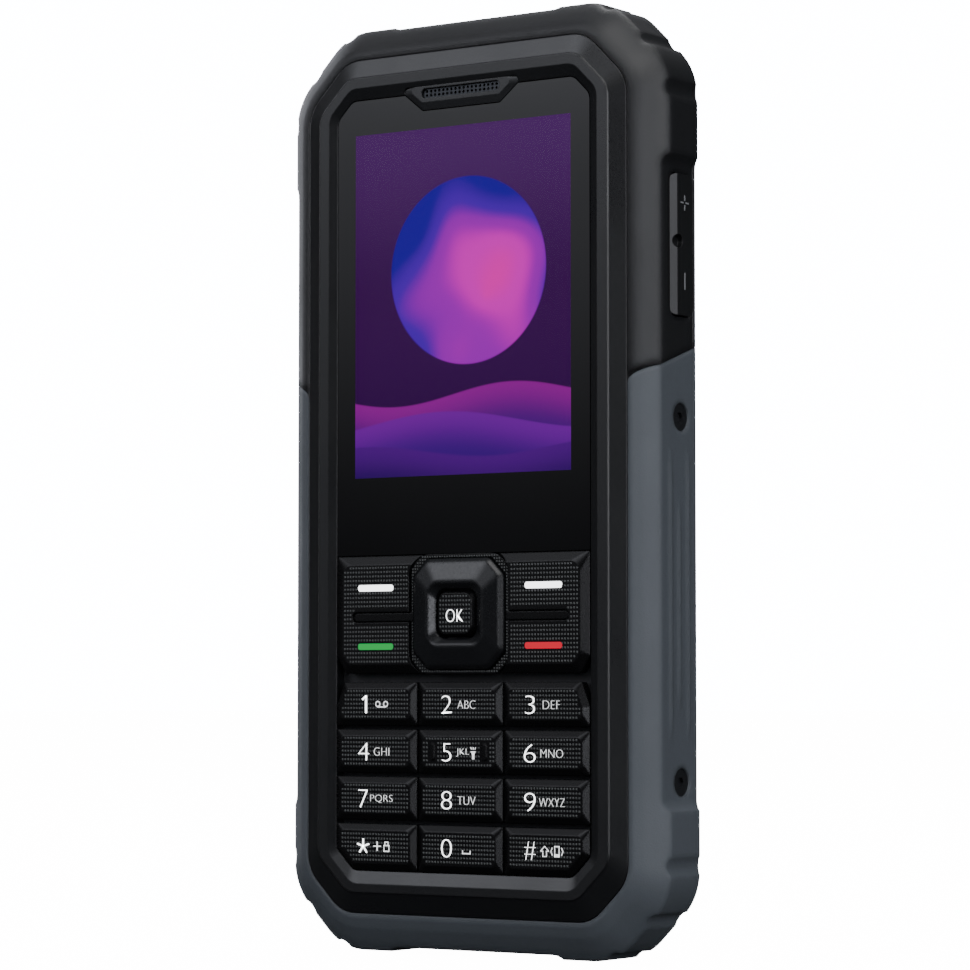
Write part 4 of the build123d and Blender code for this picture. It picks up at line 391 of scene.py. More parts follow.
@dataclass(frozen=True)
class Printed(Finish):
    """Printed ink, slightly uneven in its cover, with the keypad's light behind it."""

    shade: str = "c8ccce"
    shade_most: float = 0.3
    screen_scale: float = 4000.0
    screen_range: Span = (0.5, 0.8)
    light: str = "f4f5f5"
    glow: float = 0.0

    def texture(self, tree: Tree, shader: Node) -> None:
        """Add the unevenness of a screen print.

        Args:
            tree: The material's node tree.
            shader: The material's surface shader.
        """
        screen = noise(tree, surface_place(tree), self.screen_scale, 1.0)
        share = carry(tree, screen, *self.screen_range, 0.0, self.shade_most)
        colour = mix(tree, share, linear(self.colour), linear(self.shade))
        tree.links.new(colour, shader.inputs["Base Color"])
        shader.inputs["Emission Color"].default_value = linear(self.light)
        shader.inputs["Emission Strength"].default_value = self.glow


@dataclass(frozen=True)
class ClearLens(Finish):
    """Clear moulded or polished lens, which lets through what is behind it."""

    clearness: float = 0.9
    dust_scale: float = 900.0
    dust_range: Span = (0.6, 0.8)
    dust_gloss: float = 0.1

    def texture(self, tree: Tree, shader: Node) -> None:
        """Make the lens clear, with a trace of dust in its gloss.

        Args:
            tree: The material's node tree.
            shader: The material's surface shader.
        """
        dust = noise(tree, surface_place(tree), self.dust_scale)
        gloss = carry(tree, dust, *self.dust_range, self.roughness, self.roughness + self.dust_gloss)
        tree.links.new(gloss, shader.inputs["Roughness"])
        shader.inputs["Transmission Weight"].default_value = self.clearness


# ABS, moulded in a spark-eroded mould: nearly black, its grain breaks every highlight into a soft sheen
SHELL_ABS = Moulded("spark eroded abs", "141517", 0.42, shade="0f1011", edge_mm=1.7)
# The same plastic in a smoother mould round the window: blacker, with longer and sharper highlights
BEZEL_ABS = Moulded(
    "satin abs", "0f1012", 0.32, shade="0b0c0d", grain_mm=0.12, grain_deep_mm=0.006, edge_mm=0.2
)
# Thermoplastic rubber over plastic: blue grey, dull, with hardly a highlight
SHELL_RUBBER = Moulded(
    "overmoulded rubber", "4d5257", 0.48,
    shade="454a4f", grain_mm=0.22, grain_deep_mm=0.02, ior=1.45, edge_mm=1.2,
)
# Polycarbonate of the keys under a black lacquer: glossy, but with restrained highlights on its bevels
KEY_PLASTIC = Moulded(
    "lacquered polycarbonate", "0a0a0b", 0.26, shade="070708", grain_deep_mm=0.004, ior=1.3, edge_mm=0.25
)
# The small points on the keys, of the same black plastic: their grey colour is a painted sheen that stands in
# for the light their tops catch
POINT_SHEEN_PLASTIC = Moulded(
    "polycarbonate points with painted sheen", "464848", 0.4, shade="3c3e3e", grain_deep_mm=0.002, ior=1.42, edge_mm=0.02
)
# Polished ABS of the pad's ring: its facets show as clean lighter and darker planes
RING_ABS = Moulded(
    "polished abs", "121315", 0.24, shade="0f1011", grain_mm=0.4, grain_deep_mm=0.002, ior=1.42, edge_mm=0.5
)
# Soft-touch paint over the battery cover: dull dark grey, made paler than the shell as painted light for the
# dimly lit back, so the cover stands out from the shell round it
COVER_PAINT_WITH_PAINTED_LIGHT = Moulded(
    "soft touch paint with painted light", "2b2e31", 0.55, shade="25282b", grain_mm=0.3, grain_deep_mm=0.02, edge_mm=0.4
)
# Plain black moulding of parts that are barely seen
DARK_ABS = Moulded("plain black abs", "121314", 0.5, shade="0b0c0c")
# Satin ABS of the earpiece tab, a trace paler than the bezel round it
GREY_ABS = Moulded("satin grey abs", "17181a", 0.36, shade="121315", grain_mm=0.12, grain_deep_mm=0.005)
SILICONE = Moulded("moulded silicone rubber", "1b1c1e", 0.6, shade="141516", ior=1.43)
MAT_SILICONE = Moulded("translucent silicone rubber", "1d1e20", 0.55, shade="2a2b2d", ior=1.43)
VOLUME_PLASTIC = Moulded("satin polycarbonate", "121314", 0.36, shade="0e0f10", grain_deep_mm=0.005)
COVER_GLASS = CoverGlass("polished printed glass", "050506", 0.06, ior=1.52)
PANEL = LitPanel("lit liquid crystal panel", "020203", 0.5, ior=1.05)
WHITE_INK = Printed("white printed ink", "f4f5f5", 0.45, glow=3.6)
THIN_INK = Printed("thin white printed ink", "d4d6d6", 0.45, glow=1.25)
GREEN_INK = Printed("green printed ink", "004a18", 0.5, shade="004015", light="02b449", glow=0.9)
RED_INK = Printed("red printed ink", "700010", 0.5, shade="60000c", light="e5002b", glow=0.9)
GREY_INK = Printed("grey printed ink", "7d7f81", 0.5, shade="6c6e70")
SHEET_STEEL = Drawn("rolled steel sheet", "b8babd", 0.35)
DARK_STEEL = Drawn("blackened steel", "4c4e51", 0.42)
# Wire mesh behind the earpiece slot: paler than the plastic, so its bars show between the holes
MESH_STEEL = Drawn("etched steel mesh", "3e4043", 0.38)
TURNED_STEEL = Drawn("turned stainless steel", "a9abae", 0.42, along=(12.0, 1.0, 12.0))
ANODISED = Drawn("anodised aluminium", "3f4246", 0.32, along=(1.0, 12.0, 1.0))
GOLD = Drawn("gold plated spring bronze", "d9ab4e", 0.28)
BOARD = Moulded(
    "solder mask on glass fibre", "0f3d2a", 0.35, shade="0b3022", grain_mm=0.5, grain_deep_mm=0.01
)
CERAMIC = Moulded("fired ceramic", "d6cfc0", 0.4, shade="c9c1b0")
BATTERY_WRAP = Moulded("printed battery wrap", "25282e", 0.4, shade="1d2025")
PHOSPHOR = Moulded("silicone over phosphor", "e6dfb0", 0.35, shade="dccf94")
LENS = ClearLens("clear polycarbonate lens", "f2f5f7", 0.05, ior=1.58)
CAMERA_LENS = ClearLens("coated camera glass", "d8dcea", 0.02, ior=1.52)

NODE_FINISHES: dict[Finish, tuple[str, ...]] = {
    SHELL_ABS: ("front_housing", "rear_housing"),
    COVER_PAINT_WITH_PAINTED_LIGHT: ("battery_cover",),
    BEZEL_ABS: ("front_bezel",),
    SHELL_RUBBER: ("lower_shell",),
    KEY_PLASTIC: tuple(f"key_{name}" for name in "123456789") + (
        "key_star", "key_0", "key_hash", "left_rocker_key", "right_rocker_key", "ok_key", "nav_frame",
    ),
    RING_ABS: ("dpad_ring",),
    DARK_ABS: ("dpad_web", "volume_switch", "headphone_jack", "loudspeaker", "camera_module"),
    GREY_ABS: ("earpiece_tab",),
    SILICONE: ("usb_flap", "jack_flap", "housing_seal", "cover_seal"),
    MAT_SILICONE: ("keypad_mat",),
    VOLUME_PLASTIC: ("volume_key",),
    COVER_GLASS: ("display_glass",),
    PANEL: ("display_panel",),
    SHEET_STEEL: (
        "display_tray", "shield_can", "sim_holder", "vibration_motor", "microphone", "usb_connector",
    ),
    DARK_STEEL: ("side_screws", "housing_screws"),
    MESH_STEEL: ("earpiece_grille",),
    TURNED_STEEL: (
        "cover_screw_left", "cover_screw_right", "motor_weight", "dome_switches", "earpiece_receiver",
    ),
    ANODISED: ("camera_ring",),
    GOLD: ("battery_contacts",),
    BOARD: ("main_board",),
    CERAMIC: ("antenna",),
    BATTERY_WRAP: ("battery",),
    PHOSPHOR: ("torch_led", "flash_led"),
    LENS: ("torch_lens",),
    CAMERA_LENS: ("camera_glass",),
}
"""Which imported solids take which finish."""


def choose(*pieces: Piece) -> None:
    """Select only these pieces, the first of them as the active one."""
    bpy.ops.object.select_all(action="DESELECT")
    for piece in pieces:
        piece.select_set(True)
    bpy.context.view_layer.objects.active = pieces[0]


def open_at(piece: Piece, kind: str, chosen: Iterable[int]) -> None:
    """Open a mesh for editing, with only some of its vertices or edges selected.

    Args:
        piece: The piece, which is the active one.
        kind: VERT or EDGE.
        chosen: The numbers of the vertices or edges.
    """
    bpy.ops.object.mode_set(mode="EDIT")
    bpy.ops.mesh.select_mode(type=kind)
    bpy.ops.mesh.select_all(action="DESELECT")
    bpy.ops.object.mode_set(mode="OBJECT")
    parts = piece.data.edges if kind == "EDGE" else piece.data.vertices
    for index in chosen:
        parts[index].select = True
    bpy.ops.object.mode_set(mode="EDIT")


def settle(piece: Piece, name: str, finish: Finish, body: str) -> None:
    """Name a finished piece, dress it and let it ride on its body.

    Args:
        piece: The piece.
        name: Its name.
        finish: What it is made of.
        body: The body that carries it.
    """
    choose(piece)
    bpy.ops.object.transform_apply(location=True, rotation=True, scale=True)
    piece.name = piece.data.name = name
    piece.data.materials.clear()
    piece.data.materials.append(finish.material())
    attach(piece, body)
    LOG.info("%s: %d faces", name, len(piece.data.polygons))


def join(pieces: list[Piece]) -> Piece:
    """Join pieces into the first one.

    Args:
        pieces: The pieces, at least one.

    Returns:
        The joined piece.
    """
    choose(*pieces)
    if len(pieces) > 1:
        bpy.ops.object.join()
    return bpy.context.object


@dataclass(frozen=True)
class Ink:
    """Draws thin printed marks that face the user, in millimetres across and up."""

    face: float
    """Depth of the printed face."""
    shift: float = 0.0
    """How far every mark moves to the right, which sets the marks where the photograph shows them."""
    thick: float = 0.075
    sink: float = 0.01

    def middle(self, x: float, z: float) -> Place:
        """Give the middle of a mark, in metres, from its place across and up."""
        return (x + self.shift) * MM, y_at(self.face) + (self.sink - self.thick) / 2 * MM, z * MM

    def letters(
        self, text: str, left: float, right: float, low: float, high: float, thinning: float = 0.028
    ) -> Piece:
        """Print letters or digits that fill a box.

        Args:
            text: What is printed.
            left: Left side of the box.
            right: Right side of the box.
            low: Lower side of the box.
            high: Upper side of the box.
            thinning: How much lighter they are drawn than the built-in ones, as a share of their size.

        Returns:
            The marks as a mesh.
        """
        bpy.ops.object.text_add(rotation=(math.pi / 2, 0, 0))
        piece = bpy.context.object
        piece.data.body = text
        piece.data.resolution_u = 6
        piece.data.extrude = 0.5
        piece.data.offset = -thinning
        bpy.ops.object.convert(target="MESH")
        piece = bpy.context.object
        bpy.ops.object.transform_apply(location=False, rotation=True, scale=False)
        points = [vertex.co for vertex in piece.data.vertices]
        lows = [min(point[axis] for point in points) for axis in range(3)]
        sizes = [max(point[axis] for point in points) - lows[axis] for axis in range(3)]
        wanted = (right - left, self.thick + self.sink, high - low)
        start = (left + self.shift, GLASS_FACE + self.face - self.thick, low)
        for point in points:
            for axis in range(3):
                point[axis] = (start[axis] + (point[axis] - lows[axis]) / sizes[axis] * wanted[axis]) * MM
        return piece

    def stroke(
        self, x: float, z: float, wide: float, high: float, turn: float = 0.0, rounding: float = 0.03
    ) -> Piece:
        """Print one straight stroke.

        Args:
            x: Middle across.
            z: Middle up.
            wide: Width before turning.
            high: Height before turning.
            turn: Degrees that it is turned, anticlockwise as the user sees it.
            rounding: Radius of its corners.

        Returns:
            The stroke as a mesh.
        """
        bpy.ops.mesh.primitive_cube_add(
            size=MM,
            location=self.middle(x, z),
            rotation=(0, -math.radians(turn), 0),
            scale=(wide, self.thick + self.sink, high),
        )
        piece = bpy.context.object
        bpy.ops.object.transform_apply(location=False, rotation=False, scale=True)
        open_at(piece, "EDGE", [edge.index for edge in piece.data.edges if self.runs_deep(piece, edge)])
        bpy.ops.mesh.bevel(offset=rounding * MM, segments=5 if rounding > 0.1 else 2, affect="EDGES")
        bpy.ops.object.mode_set(mode="OBJECT")
        return piece

    @staticmethod
    def runs_deep(piece: Piece, edge: bpy.types.MeshEdge) -> bool:
        """Tell whether an edge runs from the front of a stroke to its back."""
        start, end = (piece.data.vertices[index].co for index in edge.vertices)
        return abs(start.y - end.y) > abs(start.x - end.x) + abs(start.z - end.z)

    def ring(self, x: float, z: float, radius: float, line: float) -> Piece:
        """Print a ring.

        Args:
            x: Middle across.
            z: Middle up.
            radius: Radius of the middle of its line.
            line: Width of its line.

        Returns:
            The ring as a mesh.
        """
        bpy.ops.mesh.primitive_torus_add(
            location=self.middle(x, z),
            rotation=(math.pi / 2, 0, 0),
            major_radius=radius * MM,
            minor_radius=line / 2 * MM,
            major_segments=28,
            minor_segments=8,
        )
        piece = bpy.context.object
        piece.scale = (1, 1, (self.thick + self.sink) / line)
        return piece


AROUND = ((1, 0), (-1, 0), (0, 1), (0, -1), (0.7, 0.7), (-0.7, 0.7), (0.7, -0.7), (-0.7, -0.7))
"""Eight places around the middle of a point, where the flat has to reach to."""


@dataclass(frozen=True)
class Knurl:
    """Rows of small blunt pyramids on the flat front of a key, in millimetres."""

    pitch: tuple[float, float] = (0.49, 0.6)
    foot: float = 0.32
    tip: float = 0.13
    high: float = 0.065
    sink: float = 0.01
    seen_depth: float = -0.2
    """Flats in front of this depth are the ones that the user sees."""
    straight: float = 0.999
    """Cosine of the angle to the front, from which a face counts as flat."""
    level: float = 0.02
    """Faces no further apart than this are one flat."""

    def cover(self, name: str, body: str, margin: float = 0.3) -> None:
        """Cover the flat front of one solid.

        Args:
            name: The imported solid.
            body: The body that carries it.
            margin: How far the middle of a point keeps from the edge of the flat.
        """
        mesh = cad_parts[name].data
        facing = [face for face in mesh.polygons if face.normal.y < -self.straight]
        areas = defaultdict(float)
        for face in facing:
            areas[round(face.center.y, 5)] += face.area
        exposed = {y: area for y, area in areas.items() if y < y_at(self.seen_depth)}
        front = max(exposed, key=exposed.get)
        flats = [face for face in facing if abs(face.center.y - front) < self.level * MM]
        corners = [[mesh.vertices[index].co for index in face.vertices] for face in flats]
        spots = [corner for face in corners for corner in face]
        left, right = min(point.x for point in spots), max(point.x for point in spots)
        low, high = min(point.z for point in spots), max(point.z for point in spots)
        columns = int((right - left) / MM / self.pitch[0])
        rows = int((high - low) / MM / self.pitch[1])
        start = Vector((
            (left + right - (columns - 1) * self.pitch[0] * MM) / 2,
            front + (self.sink - self.high) / 2 * MM,
            (low + high - (rows - 1) * self.pitch[1] * MM) / 2,
        ))
        bpy.ops.mesh.primitive_cone_add(
            vertices=4,
            radius1=self.foot / math.sqrt(2) * MM,
            radius2=self.tip / math.sqrt(2) * MM,
            depth=(self.high + self.sink) * MM,
            rotation=(0, 0, math.pi / 4),
        )
        piece = bpy.context.object
        bpy.ops.object.transform_apply(location=False, rotation=True, scale=False)
        piece.rotation_euler = (math.pi / 2, 0, 0)
        piece.location = start
        bpy.ops.object.transform_apply(location=True, rotation=True, scale=False)
        corner_count = len(piece.data.vertices)
        for count, step in ((columns, (self.pitch[0] * MM, 0, 0)), (rows, (0, 0, self.pitch[1] * MM))):
            array = piece.modifiers.new("rows", "ARRAY")
            array.count = count
            array.use_relative_offset = False
            array.use_constant_offset = True
            array.constant_offset_displace = step
            bpy.ops.object.modifier_apply(modifier=array.name)
        outlines = [[(corner.x, corner.z) for corner in face] for face in corners]
        self.trim(piece, corner_count, outlines, margin * MM)
        # The points take the grey finish whose colour is a painted sheen for the light on their tops.
        settle(piece, f"points_{name}", POINT_SHEEN_PLASTIC, body)

    @staticmethod
    def holds(corners: Outline, x: float, z: float) -> bool:
        """Tell whether a convex face holds a place.

        Args:
            corners: Its corners, in order.
            x: The place across.
            z: The place up.

        Returns:
            Whether the place is inside it or on its edge.
        """
        turns = [
            (bx - ax) * (z - az) - (bz - az) * (x - ax)
            for (ax, az), (bx, bz) in zip(corners, corners[1:] + corners[:1])
        ]
        return min(turns) >= -1e-12 or max(turns) <= 1e-12

    def trim(self, piece: Piece, corner_count: int, flats: list[Outline], margin: float) -> None:
        """Remove the points that don't stand on the flat.

        Args:
            piece: The whole field of points.
            corner_count: How many corners each point has.
            flats: The faces of the flat.
            margin: How far inside the flat a point has to stand, in metres.
        """
        points = piece.data.vertices
        offsets = [(x * margin, z * margin) for x, z in AROUND]
        gone = set()
        for first in range(0, len(points), corner_count):
            own = range(first, first + corner_count)
            x = sum(points[index].co.x for index in own) / corner_count
            z = sum(points[index].co.z for index in own) / corner_count
            if not all(any(self.holds(flat, x + dx, z + dz) for flat in flats) for dx, dz in offsets):
                gone.update(own)
        open_at(piece, "VERT", gone)
        bpy.ops.mesh.delete(type="VERT")
        bpy.ops.object.mode_set(mode="OBJECT")


SIGN_LINE = 0.15
FINE_LINE = 0.1
"""Widths of the lines of the signs, in millimetres."""


class Icon(Enum):
    """The small signs printed beside some digits, each with its strokes, in millimetres and degrees.

    A stroke says how far out and up from the sign's middle it lies, how wide and high it is, and how far
    it is turned. One that lies beside the middle line has a twin on the other side.
    """

    MAIL = ((0, -0.36, 1.45, SIGN_LINE, 0),)
    TORCH = (
        (0, 0.12, 0.78, 0.16, 0), (0, -0.03, 0.58, 0.16, 0), (0, -0.18, 0.38, 0.16, 0),
        (0, -0.56, 0.34, 0.7, 0), (0, 0.6, FINE_LINE, 0.34, 0), (0.36, 0.6, FINE_LINE, 0.34, -28),
    )
    PLUS = ((0, 0, 1.3, SIGN_LINE, 0), (0, 0, SIGN_LINE, 1.3, 0))
    LOCK = (
        (0.43, -0.28, FINE_LINE, 0.9, 0), (0.28, 0.36, FINE_LINE, 0.46, 0),
        (0, 0.12, 0.94, SIGN_LINE, 0), (0, -0.68, 0.94, SIGN_LINE, 0), (0, 0.6, 0.62, SIGN_LINE, 0),
    )
    SPACE = ((0, -0.65, 1.4, SIGN_LINE, 0), (0.64, -0.45, FINE_LINE, 0.45, 0))
    SHIFT = (
        (0.32, 0.36, 0.95, FINE_LINE, -45), (0.48, 0.02, 0.36, FINE_LINE, 0),
        (0.3, -0.33, FINE_LINE, 0.8, 0), (0, -0.7, 0.7, FINE_LINE, 0),
    )
    BUZZ = (
        (0.36, 0, FINE_LINE, 1.5, 0), (0, 0.68, 0.8, SIGN_LINE, 0), (0, -0.55, 0.8, 0.4, 0),
        (0.86, 0.27, FINE_LINE, 0.58, 24), (0.86, -0.27, FINE_LINE, 0.58, -24),
    )


@dataclass(frozen=True)
class Legend:
    """What is printed on one number key, in millimetres across."""

    key: str
    row: int
    digit: tuple[str, float, float]
    """The digit, its left side and its right side."""
    word: tuple[str, float, float] | None = None
    """The letters beside it, their left side and their right side."""
    icons: tuple[tuple[Icon, float], ...] = ()
    """The signs beside it, each with its middle."""


@dataclass
class Keypad:
    """The twelve number keys and what is printed on them, in millimetres."""

    ink: Ink = Ink(-0.6, shift=0.4)
    knurl: Knurl = Knurl()
    row_pitch: float = 6.62
    top_row: float = 34.8
    digit_high: float = 2.48
    letter_high: float = 1.12
    letter_thinning: float = 0.031
    stem: float = 0.28
    """Width of the one's upright."""
    flag: tuple[float, float, float, float, float] = (-0.3, -0.32, 0.85, 0.238, 35.0)
    """The one's flag, seen from the top of its upright: out, up, wide, high and turned."""
    star_arm: float = 1.08
    star_wide: float = 0.224
    star_drop: float = 0.05
    reels: tuple[float, float, float] = (0.68, 0.05, 0.36)
    """The two rings of the message sign: how far out and up their middles lie, and their radius."""
    legends: tuple[Legend, ...] = (
        Legend("key_1", 0, ("1", -17.25, -16.15), icons=((Icon.MAIL, -13.55),)),
        Legend("key_2", 0, ("2", -3.2, -1.5), ("ABC", -0.5, 2.5)),
        Legend("key_3", 0, ("3", 10.75, 12.4), ("DEF", 13.75, 16.5)),
        Legend("key_4", 1, ("4", -17.66, -15.77), ("GHI", -14.88, -12.25)),
        Legend("key_5", 1, ("5", -3.15, -1.6), ("JKL", -0.7, 1.45), ((Icon.TORCH, 2.15),)),
        Legend("key_6", 1, ("6", 10.62, 12.5), ("MNO", 13.35, 17.0)),
        Legend("key_7", 2, ("7", -17.57, -15.95), ("PQRS", -15.5, -11.65)),
        Legend("key_8", 2, ("8", -3.25, -1.5), ("TUV", -0.5, 2.5)),
        Legend("key_9", 2, ("9", 10.67, 12.5), ("WXYZ", 13.1, 17.3)),
        Legend("key_star", 3, ("*", -17.8, -15.7), icons=((Icon.PLUS, -14.3), (Icon.LOCK, -12.68))),
        Legend("key_0", 3, ("0", -3.25, -1.5), icons=((Icon.SPACE, 1.0),)),
        Legend("key_hash", 3, ("#", 10.67, 12.5), icons=((Icon.SHIFT, 14.0), (Icon.BUZZ, 16.0))),
    )

    def build(self) -> None:
        """Print every key."""
        for legend in self.legends:
            key = legend.key
            digit, left, right = legend.digit
            middle = self.top_row - legend.row * self.row_pitch
            half = self.digit_high / 2
            if digit == "1":
                pieces = self.one(right, middle, half)
            elif digit == "*":
                pieces = self.star((left + right) / 2, middle - self.star_drop)
            else:
                pieces = [self.ink.letters(digit, left, right, middle - half, middle + half)]
            small = []
            if legend.word:
                low, high = middle - self.letter_high / 2, middle + self.letter_high / 2
                small.append(self.ink.letters(*legend.word, low, high, self.letter_thinning))
            for icon, across in legend.icons:
                small += self.sign(icon, across, middle)
            for piece in pieces + small:
                choose(piece)
                bpy.ops.object.transform_apply(location=True, rotation=True, scale=True)
            settle(join(pieces), f"digit_{key}", WHITE_INK, key)
            settle(join(small), f"letters_{key}", THIN_INK, key)
            self.knurl.cover(key, key)

    def one(self, right: float, middle: float, half: float) -> list[Piece]:
        """Draw the digit one: an upright with a flag.

        Args:
            right: Right side of the upright.
            middle: Middle up.
            half: Half of its height.

        Returns:
            Its two strokes.
        """
        x = right - self.stem / 2
        out, up, wide, high, turn = self.flag
        upright = self.ink.stroke(x, middle, self.stem, 2 * half)
        return [upright, self.ink.stroke(x + out, middle + half + up, wide, high, turn)]

    def star(self, x: float, z: float) -> list[Piece]:
        """Draw the star with its five arms.

        Args:
            x: Middle across.
            z: Middle up.

        Returns:
            Its arms.
        """
        reach = self.star_arm / 2
        return [
            self.ink.stroke(
                x + reach * math.cos(math.radians(turn)),
                z + reach * math.sin(math.radians(turn)),
                self.star_arm,
                self.star_wide,
                turn,
            )
            for turn in range(90, 450, 72)
        ]

    def sign(self, icon: Icon, x: float, z: float) -> list[Piece]:
        """Draw one sign.

        Args:
            icon: Which sign.
            x: Middle across.
            z: Middle up.

        Returns:
            Its strokes and rings.
        """
        pieces = [
            self.ink.stroke(x + side * out, z + up, wide, high, side * turn)
            for out, up, wide, high, turn in icon.value
            for side in (BOTH_SIDES if out else (1,))
        ]
        if icon is Icon.MAIL:
            out, up, radius = self.reels
            pieces += [self.ink.ring(x + side * out, z + up, radius, SIGN_LINE) for side in BOTH_SIDES]
        return pieces


@dataclass
class PadGroup:
    """The navigation pad and the rocker keys beside it, in millimetres."""

    wing_ink: Ink = Ink(-0.6, shift=0.42)
    ok_ink: Ink = Ink(-1.5)
    knurl: Knurl = Knurl()
    frame_knurl: Knurl = Knurl(pitch=(0.42, 0.42), foot=0.27, tip=0.1)
    middle: float = 47.385
    bar_levels: tuple[float, float] = (51.15, 42.9)
    bar_wide: float = 6.1
    bar_high: float = 0.9
    bar_rounding: float = 0.36
    word_half: float = 1.42
    word_low: float = -1.15
    word_high: float = 1.74

    def build(self) -> None:
        """Print the bars on the rocker keys and the word on the middle key."""
        for key, x, low_ink in (("left_rocker_key", -14.65, GREEN_INK), ("right_rocker_key", 13.8, RED_INK)):
            for z, ink, place in zip(self.bar_levels, (WHITE_INK, low_ink), ("upper", "lower")):
                bar = self.wing_ink.stroke(x, z, self.bar_wide, self.bar_high, rounding=self.bar_rounding)
                settle(bar, f"bar_{place}_{key}", ink, key)
        low, high = self.middle + self.word_low, self.middle + self.word_low + self.word_high
        word = self.ok_ink.letters("OK", -self.word_half, self.word_half, low, high)
        settle(word, "legend_ok_key", WHITE_INK, "ok_key")
        for key in ("left_rocker_key", "right_rocker_key", "ok_key"):
            self.knurl.cover(key, key)
        self.frame_knurl.cover("nav_frame", "base", margin=0.1)


@dataclass
class VolumeRocker:
    """The plus and minus sign on the volume key, in millimetres."""

    depth: float = 8.55
    plus: tuple[float, float, float] = (103.24, 0.75, 0.66)
    """Middle up of the plus sign, length of its four strokes, and how far out each one lies."""
    minus: tuple[float, float] = (92.5, 2.3)
    """Middle up of the minus sign and its length."""
    line: float = 0.24
    thick: float = 0.06

    def build(self) -> None:
        """Print both signs."""
        face = max(vertex.co.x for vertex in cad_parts["volume_key"].data.vertices)
        middle, long, out = self.plus
        strokes = []
        for side in BOTH_SIDES:
            strokes.append(self.stroke(face, 0, middle + side * out, long, self.line))
            strokes.append(self.stroke(face, side * out, middle, self.line, long))
        middle, long = self.minus
        strokes.append(self.stroke(face, 0, middle, long, self.line))
        settle(join(strokes), "marks_volume_key", GREY_INK, "volume_key")

    def stroke(self, face: float, deeper: float, middle: float, high: float, wide: float) -> Piece:
        """Print one stroke on the side of the key.

        Args:
            face: X of the key's face, in metres.
            deeper: How far behind the middle of the signs it lies.
            middle: Middle up.
            high: Size up and down.
            wide: Size from front to back.

        Returns:
            The stroke as a mesh.
        """
        bpy.ops.mesh.primitive_cube_add(
            size=MM,
            location=(face, y_at(self.depth + deeper), middle * MM),
            scale=(2 * self.thick, wide, high),
        )
        piece = bpy.context.object
        bpy.ops.object.transform_apply(location=False, rotation=False, scale=True)
        rounding = piece.modifiers.new("rounding", "BEVEL")
        rounding.width = 0.4 * self.thick * MM
        rounding.segments = 2
        bpy.ops.object.modifier_apply(modifier=rounding.name)
        return piece


@dataclass(frozen=True)
class Softbox:
    """One soft light in the studio's surroundings, which fades towards its edge."""

    towards: Place
    strength: float
    core: float
    edge: float
    """Half angles in degrees: full light inside the core, none beyond the edge."""

    def light(self, tree: Tree, direction: Socket) -> Socket:
        """Give the light that comes from a direction.

        Args:
            tree: The world's node tree.
            direction: The direction looked into.

        Returns:
            The strength of the light.
        """
        both = {0: direction, 1: tuple(Vector(self.towards).normalized())}
        near = add_node(tree, "ShaderNodeVectorMath", both, operation="DOT_PRODUCT").outputs["Value"]
        edge, core = (math.cos(math.radians(angle)) for angle in (self.edge, self.core))
        fall = {0: near, 1: edge, 2: core, 3: 0.0, 4: self.strength}
        return add_node(tree, "ShaderNodeMapRange", fall, interpolation_type="SMOOTHSTEP").outputs[0]


@dataclass(frozen=True)
class Lamp:
    """One soft lamp that looks at the telephone, in metres and watts."""

    name: str
    place: Place
    power: float
    wide: float
    high: float
    aim: Place = (0.0, 0.0, 0.066)

    def hang(self) -> None:
        """Put the lamp in its place."""
        data = bpy.data.lights.new(self.name, "AREA")
        data.energy = self.power
        data.shape = "RECTANGLE"
        data.size, data.size_y = self.wide, self.high
        lamp = bpy.data.objects.new(self.name, data)
        bpy.context.scene.collection.objects.link(lamp)
        lamp.location = self.place
        look = Vector(self.aim) - Vector(self.place)
        lamp.rotation_euler = look.to_track_quat("-Z", "Y").to_euler()


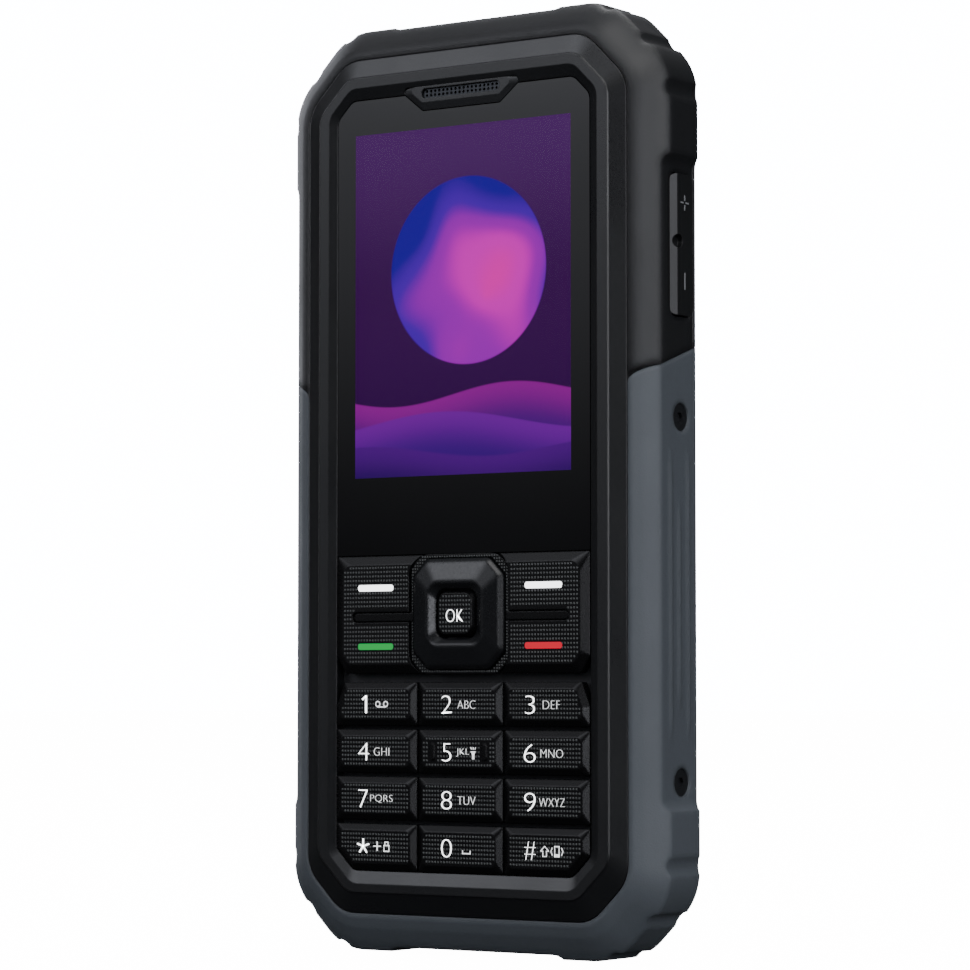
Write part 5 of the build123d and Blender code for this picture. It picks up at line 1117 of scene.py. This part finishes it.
@dataclass
class Studio:
    """Floor, light and the camera at the photograph's angle."""

    lens: float = 133.24
    eye: Place = (0.28723, -0.41420, 0.03679)
    bearing: tuple[float, float] = (-0.5708, 0.8211)
    pitch: float = 3.271
    """Degrees that the camera looks up."""
    backdrop: float = 16.5
    """Brightness of what lies behind the telephone, where the camera looks straight at it."""
    floor_radius: float = 6.0
    floor_drop: float = 0.0002
    floor_share: float = 0.9
    """The floor's own light as a share of the backdrop's; the lamps add the rest."""
    floor_colours: tuple[str, str] = ("282828", "f4f4f4")
    """The floor's colour in reflections, and where the camera looks straight at it."""
    ambient: float = 0.06
    tint: Colour = (0.94, 0.96, 1.04, 1.0)
    lamps: tuple[Lamp, ...] = (
        Lamp("key", (0.25, -0.55, 0.75), 3.0, 0.5, 0.5),
        Lamp("right", (0.9, -0.5, 0.3), 2.0, 0.25, 0.8),
        Lamp("rear", (-0.1, 0.35, 0.95), 3.5, 0.6, 0.4),
    )
    softboxes: tuple[Softbox, ...] = (
        Softbox((-0.503, -0.724, 0.469), 2.9, 9, 20),
        Softbox((-0.503, -0.724, 0.469), 0.75, 17, 26),
        Softbox((0.97, -0.25, 0.12), 2.4, 12, 40),
        Softbox((-0.82, 0.55, 0.3), 1.8, 14, 34),
        Softbox((0.0, 0.1, 1.0), 0.5, 20, 50),
        Softbox((0.469, -0.883, 0.12), 4.8, 5, 13),
        Softbox((0.46, -0.89, 0.02), 9.0, 2, 6),
        Softbox((-0.57, -0.82, 0.15), 0.1, 3, 9),
    )

    def build(self) -> None:
        """Place floor, lamps, world and camera."""
        self.place_camera()
        for lamp in self.lamps:
            lamp.hang()
        self.surround()
        bpy.ops.mesh.primitive_circle_add(
            radius=self.floor_radius, vertices=96, fill_type="NGON", location=(0, 0, -self.floor_drop)
        )
        floor = bpy.context.object
        floor.name = "floor"
        floor.data.materials.append(self.paper())

    def place_camera(self) -> None:
        """Set the camera where the photograph was taken from."""
        data = bpy.data.cameras.new("camera")
        data.lens = self.lens
        camera = bpy.data.objects.new("camera", data)
        bpy.context.scene.collection.objects.link(camera)
        camera.location = self.eye
        tip = math.radians(self.pitch)
        look = Vector((self.bearing[0] * math.cos(tip), self.bearing[1] * math.cos(tip), math.sin(tip)))
        camera.rotation_euler = look.to_track_quat("-Z", "Y").to_euler()
        bpy.context.scene.camera = camera

    def surround(self) -> None:
        """Make the world: white behind the telephone, with softboxes that light it."""
        world = bpy.data.worlds.new("studio")
        world.use_nodes = True
        tree = world.node_tree
        direction = add_node(tree, "ShaderNodeTexCoord").outputs["Generated"]
        total = add_node(tree, "ShaderNodeValue").outputs[0]
        total.default_value = self.ambient
        for box in self.softboxes:
            total = compute(tree, "ADD", total, box.light(tree, direction))
        either = {0: seen_directly(tree), 2: total, 3: self.backdrop}
        strength = add_node(tree, "ShaderNodeMix", either, data_type="FLOAT").outputs[0]
        tree.links.new(strength, tree.nodes["Background"].inputs["Strength"])
        tree.nodes["Background"].inputs["Color"].default_value = self.tint
        bpy.context.scene.world = world

    def paper(self) -> bpy.types.Material:
        """Make the pale floor: as bright as the backdrop where it is seen, and dim in every reflection."""
        made = Finish("pale studio paper", "d8d8d8", 0.9).material()
        tree = made.node_tree
        shader = tree.nodes["Principled BSDF"]
        seen = seen_directly(tree)
        colour = mix(tree, seen, *map(linear, self.floor_colours))
        glow = compute(tree, "MULTIPLY", seen, self.backdrop * self.floor_share)
        tree.links.new(colour, shader.inputs["Base Color"])
        tree.links.new(glow, shader.inputs["Emission Strength"])
        shader.inputs["Emission Color"].default_value = (1, 1, 1, 1)
        return made


def dress_solids() -> None:
    """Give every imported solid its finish."""
    for finish, names in NODE_FINISHES.items():
        for name in names:
            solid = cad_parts[name]
            solid.data.materials.clear()
            solid.data.materials.append(finish.material())
        LOG.info("%s: %d solids", finish.name, len(names))


def main() -> None:
    """Dress the telephone and set up the studio."""
    logging.basicConfig(level=logging.INFO)
    dress_solids()
    for part in (Keypad(), PadGroup(), VolumeRocker(), Studio()):
        part.build()
        LOG.info("%s built", type(part).__name__)


if __name__ == "__main__":
    main()
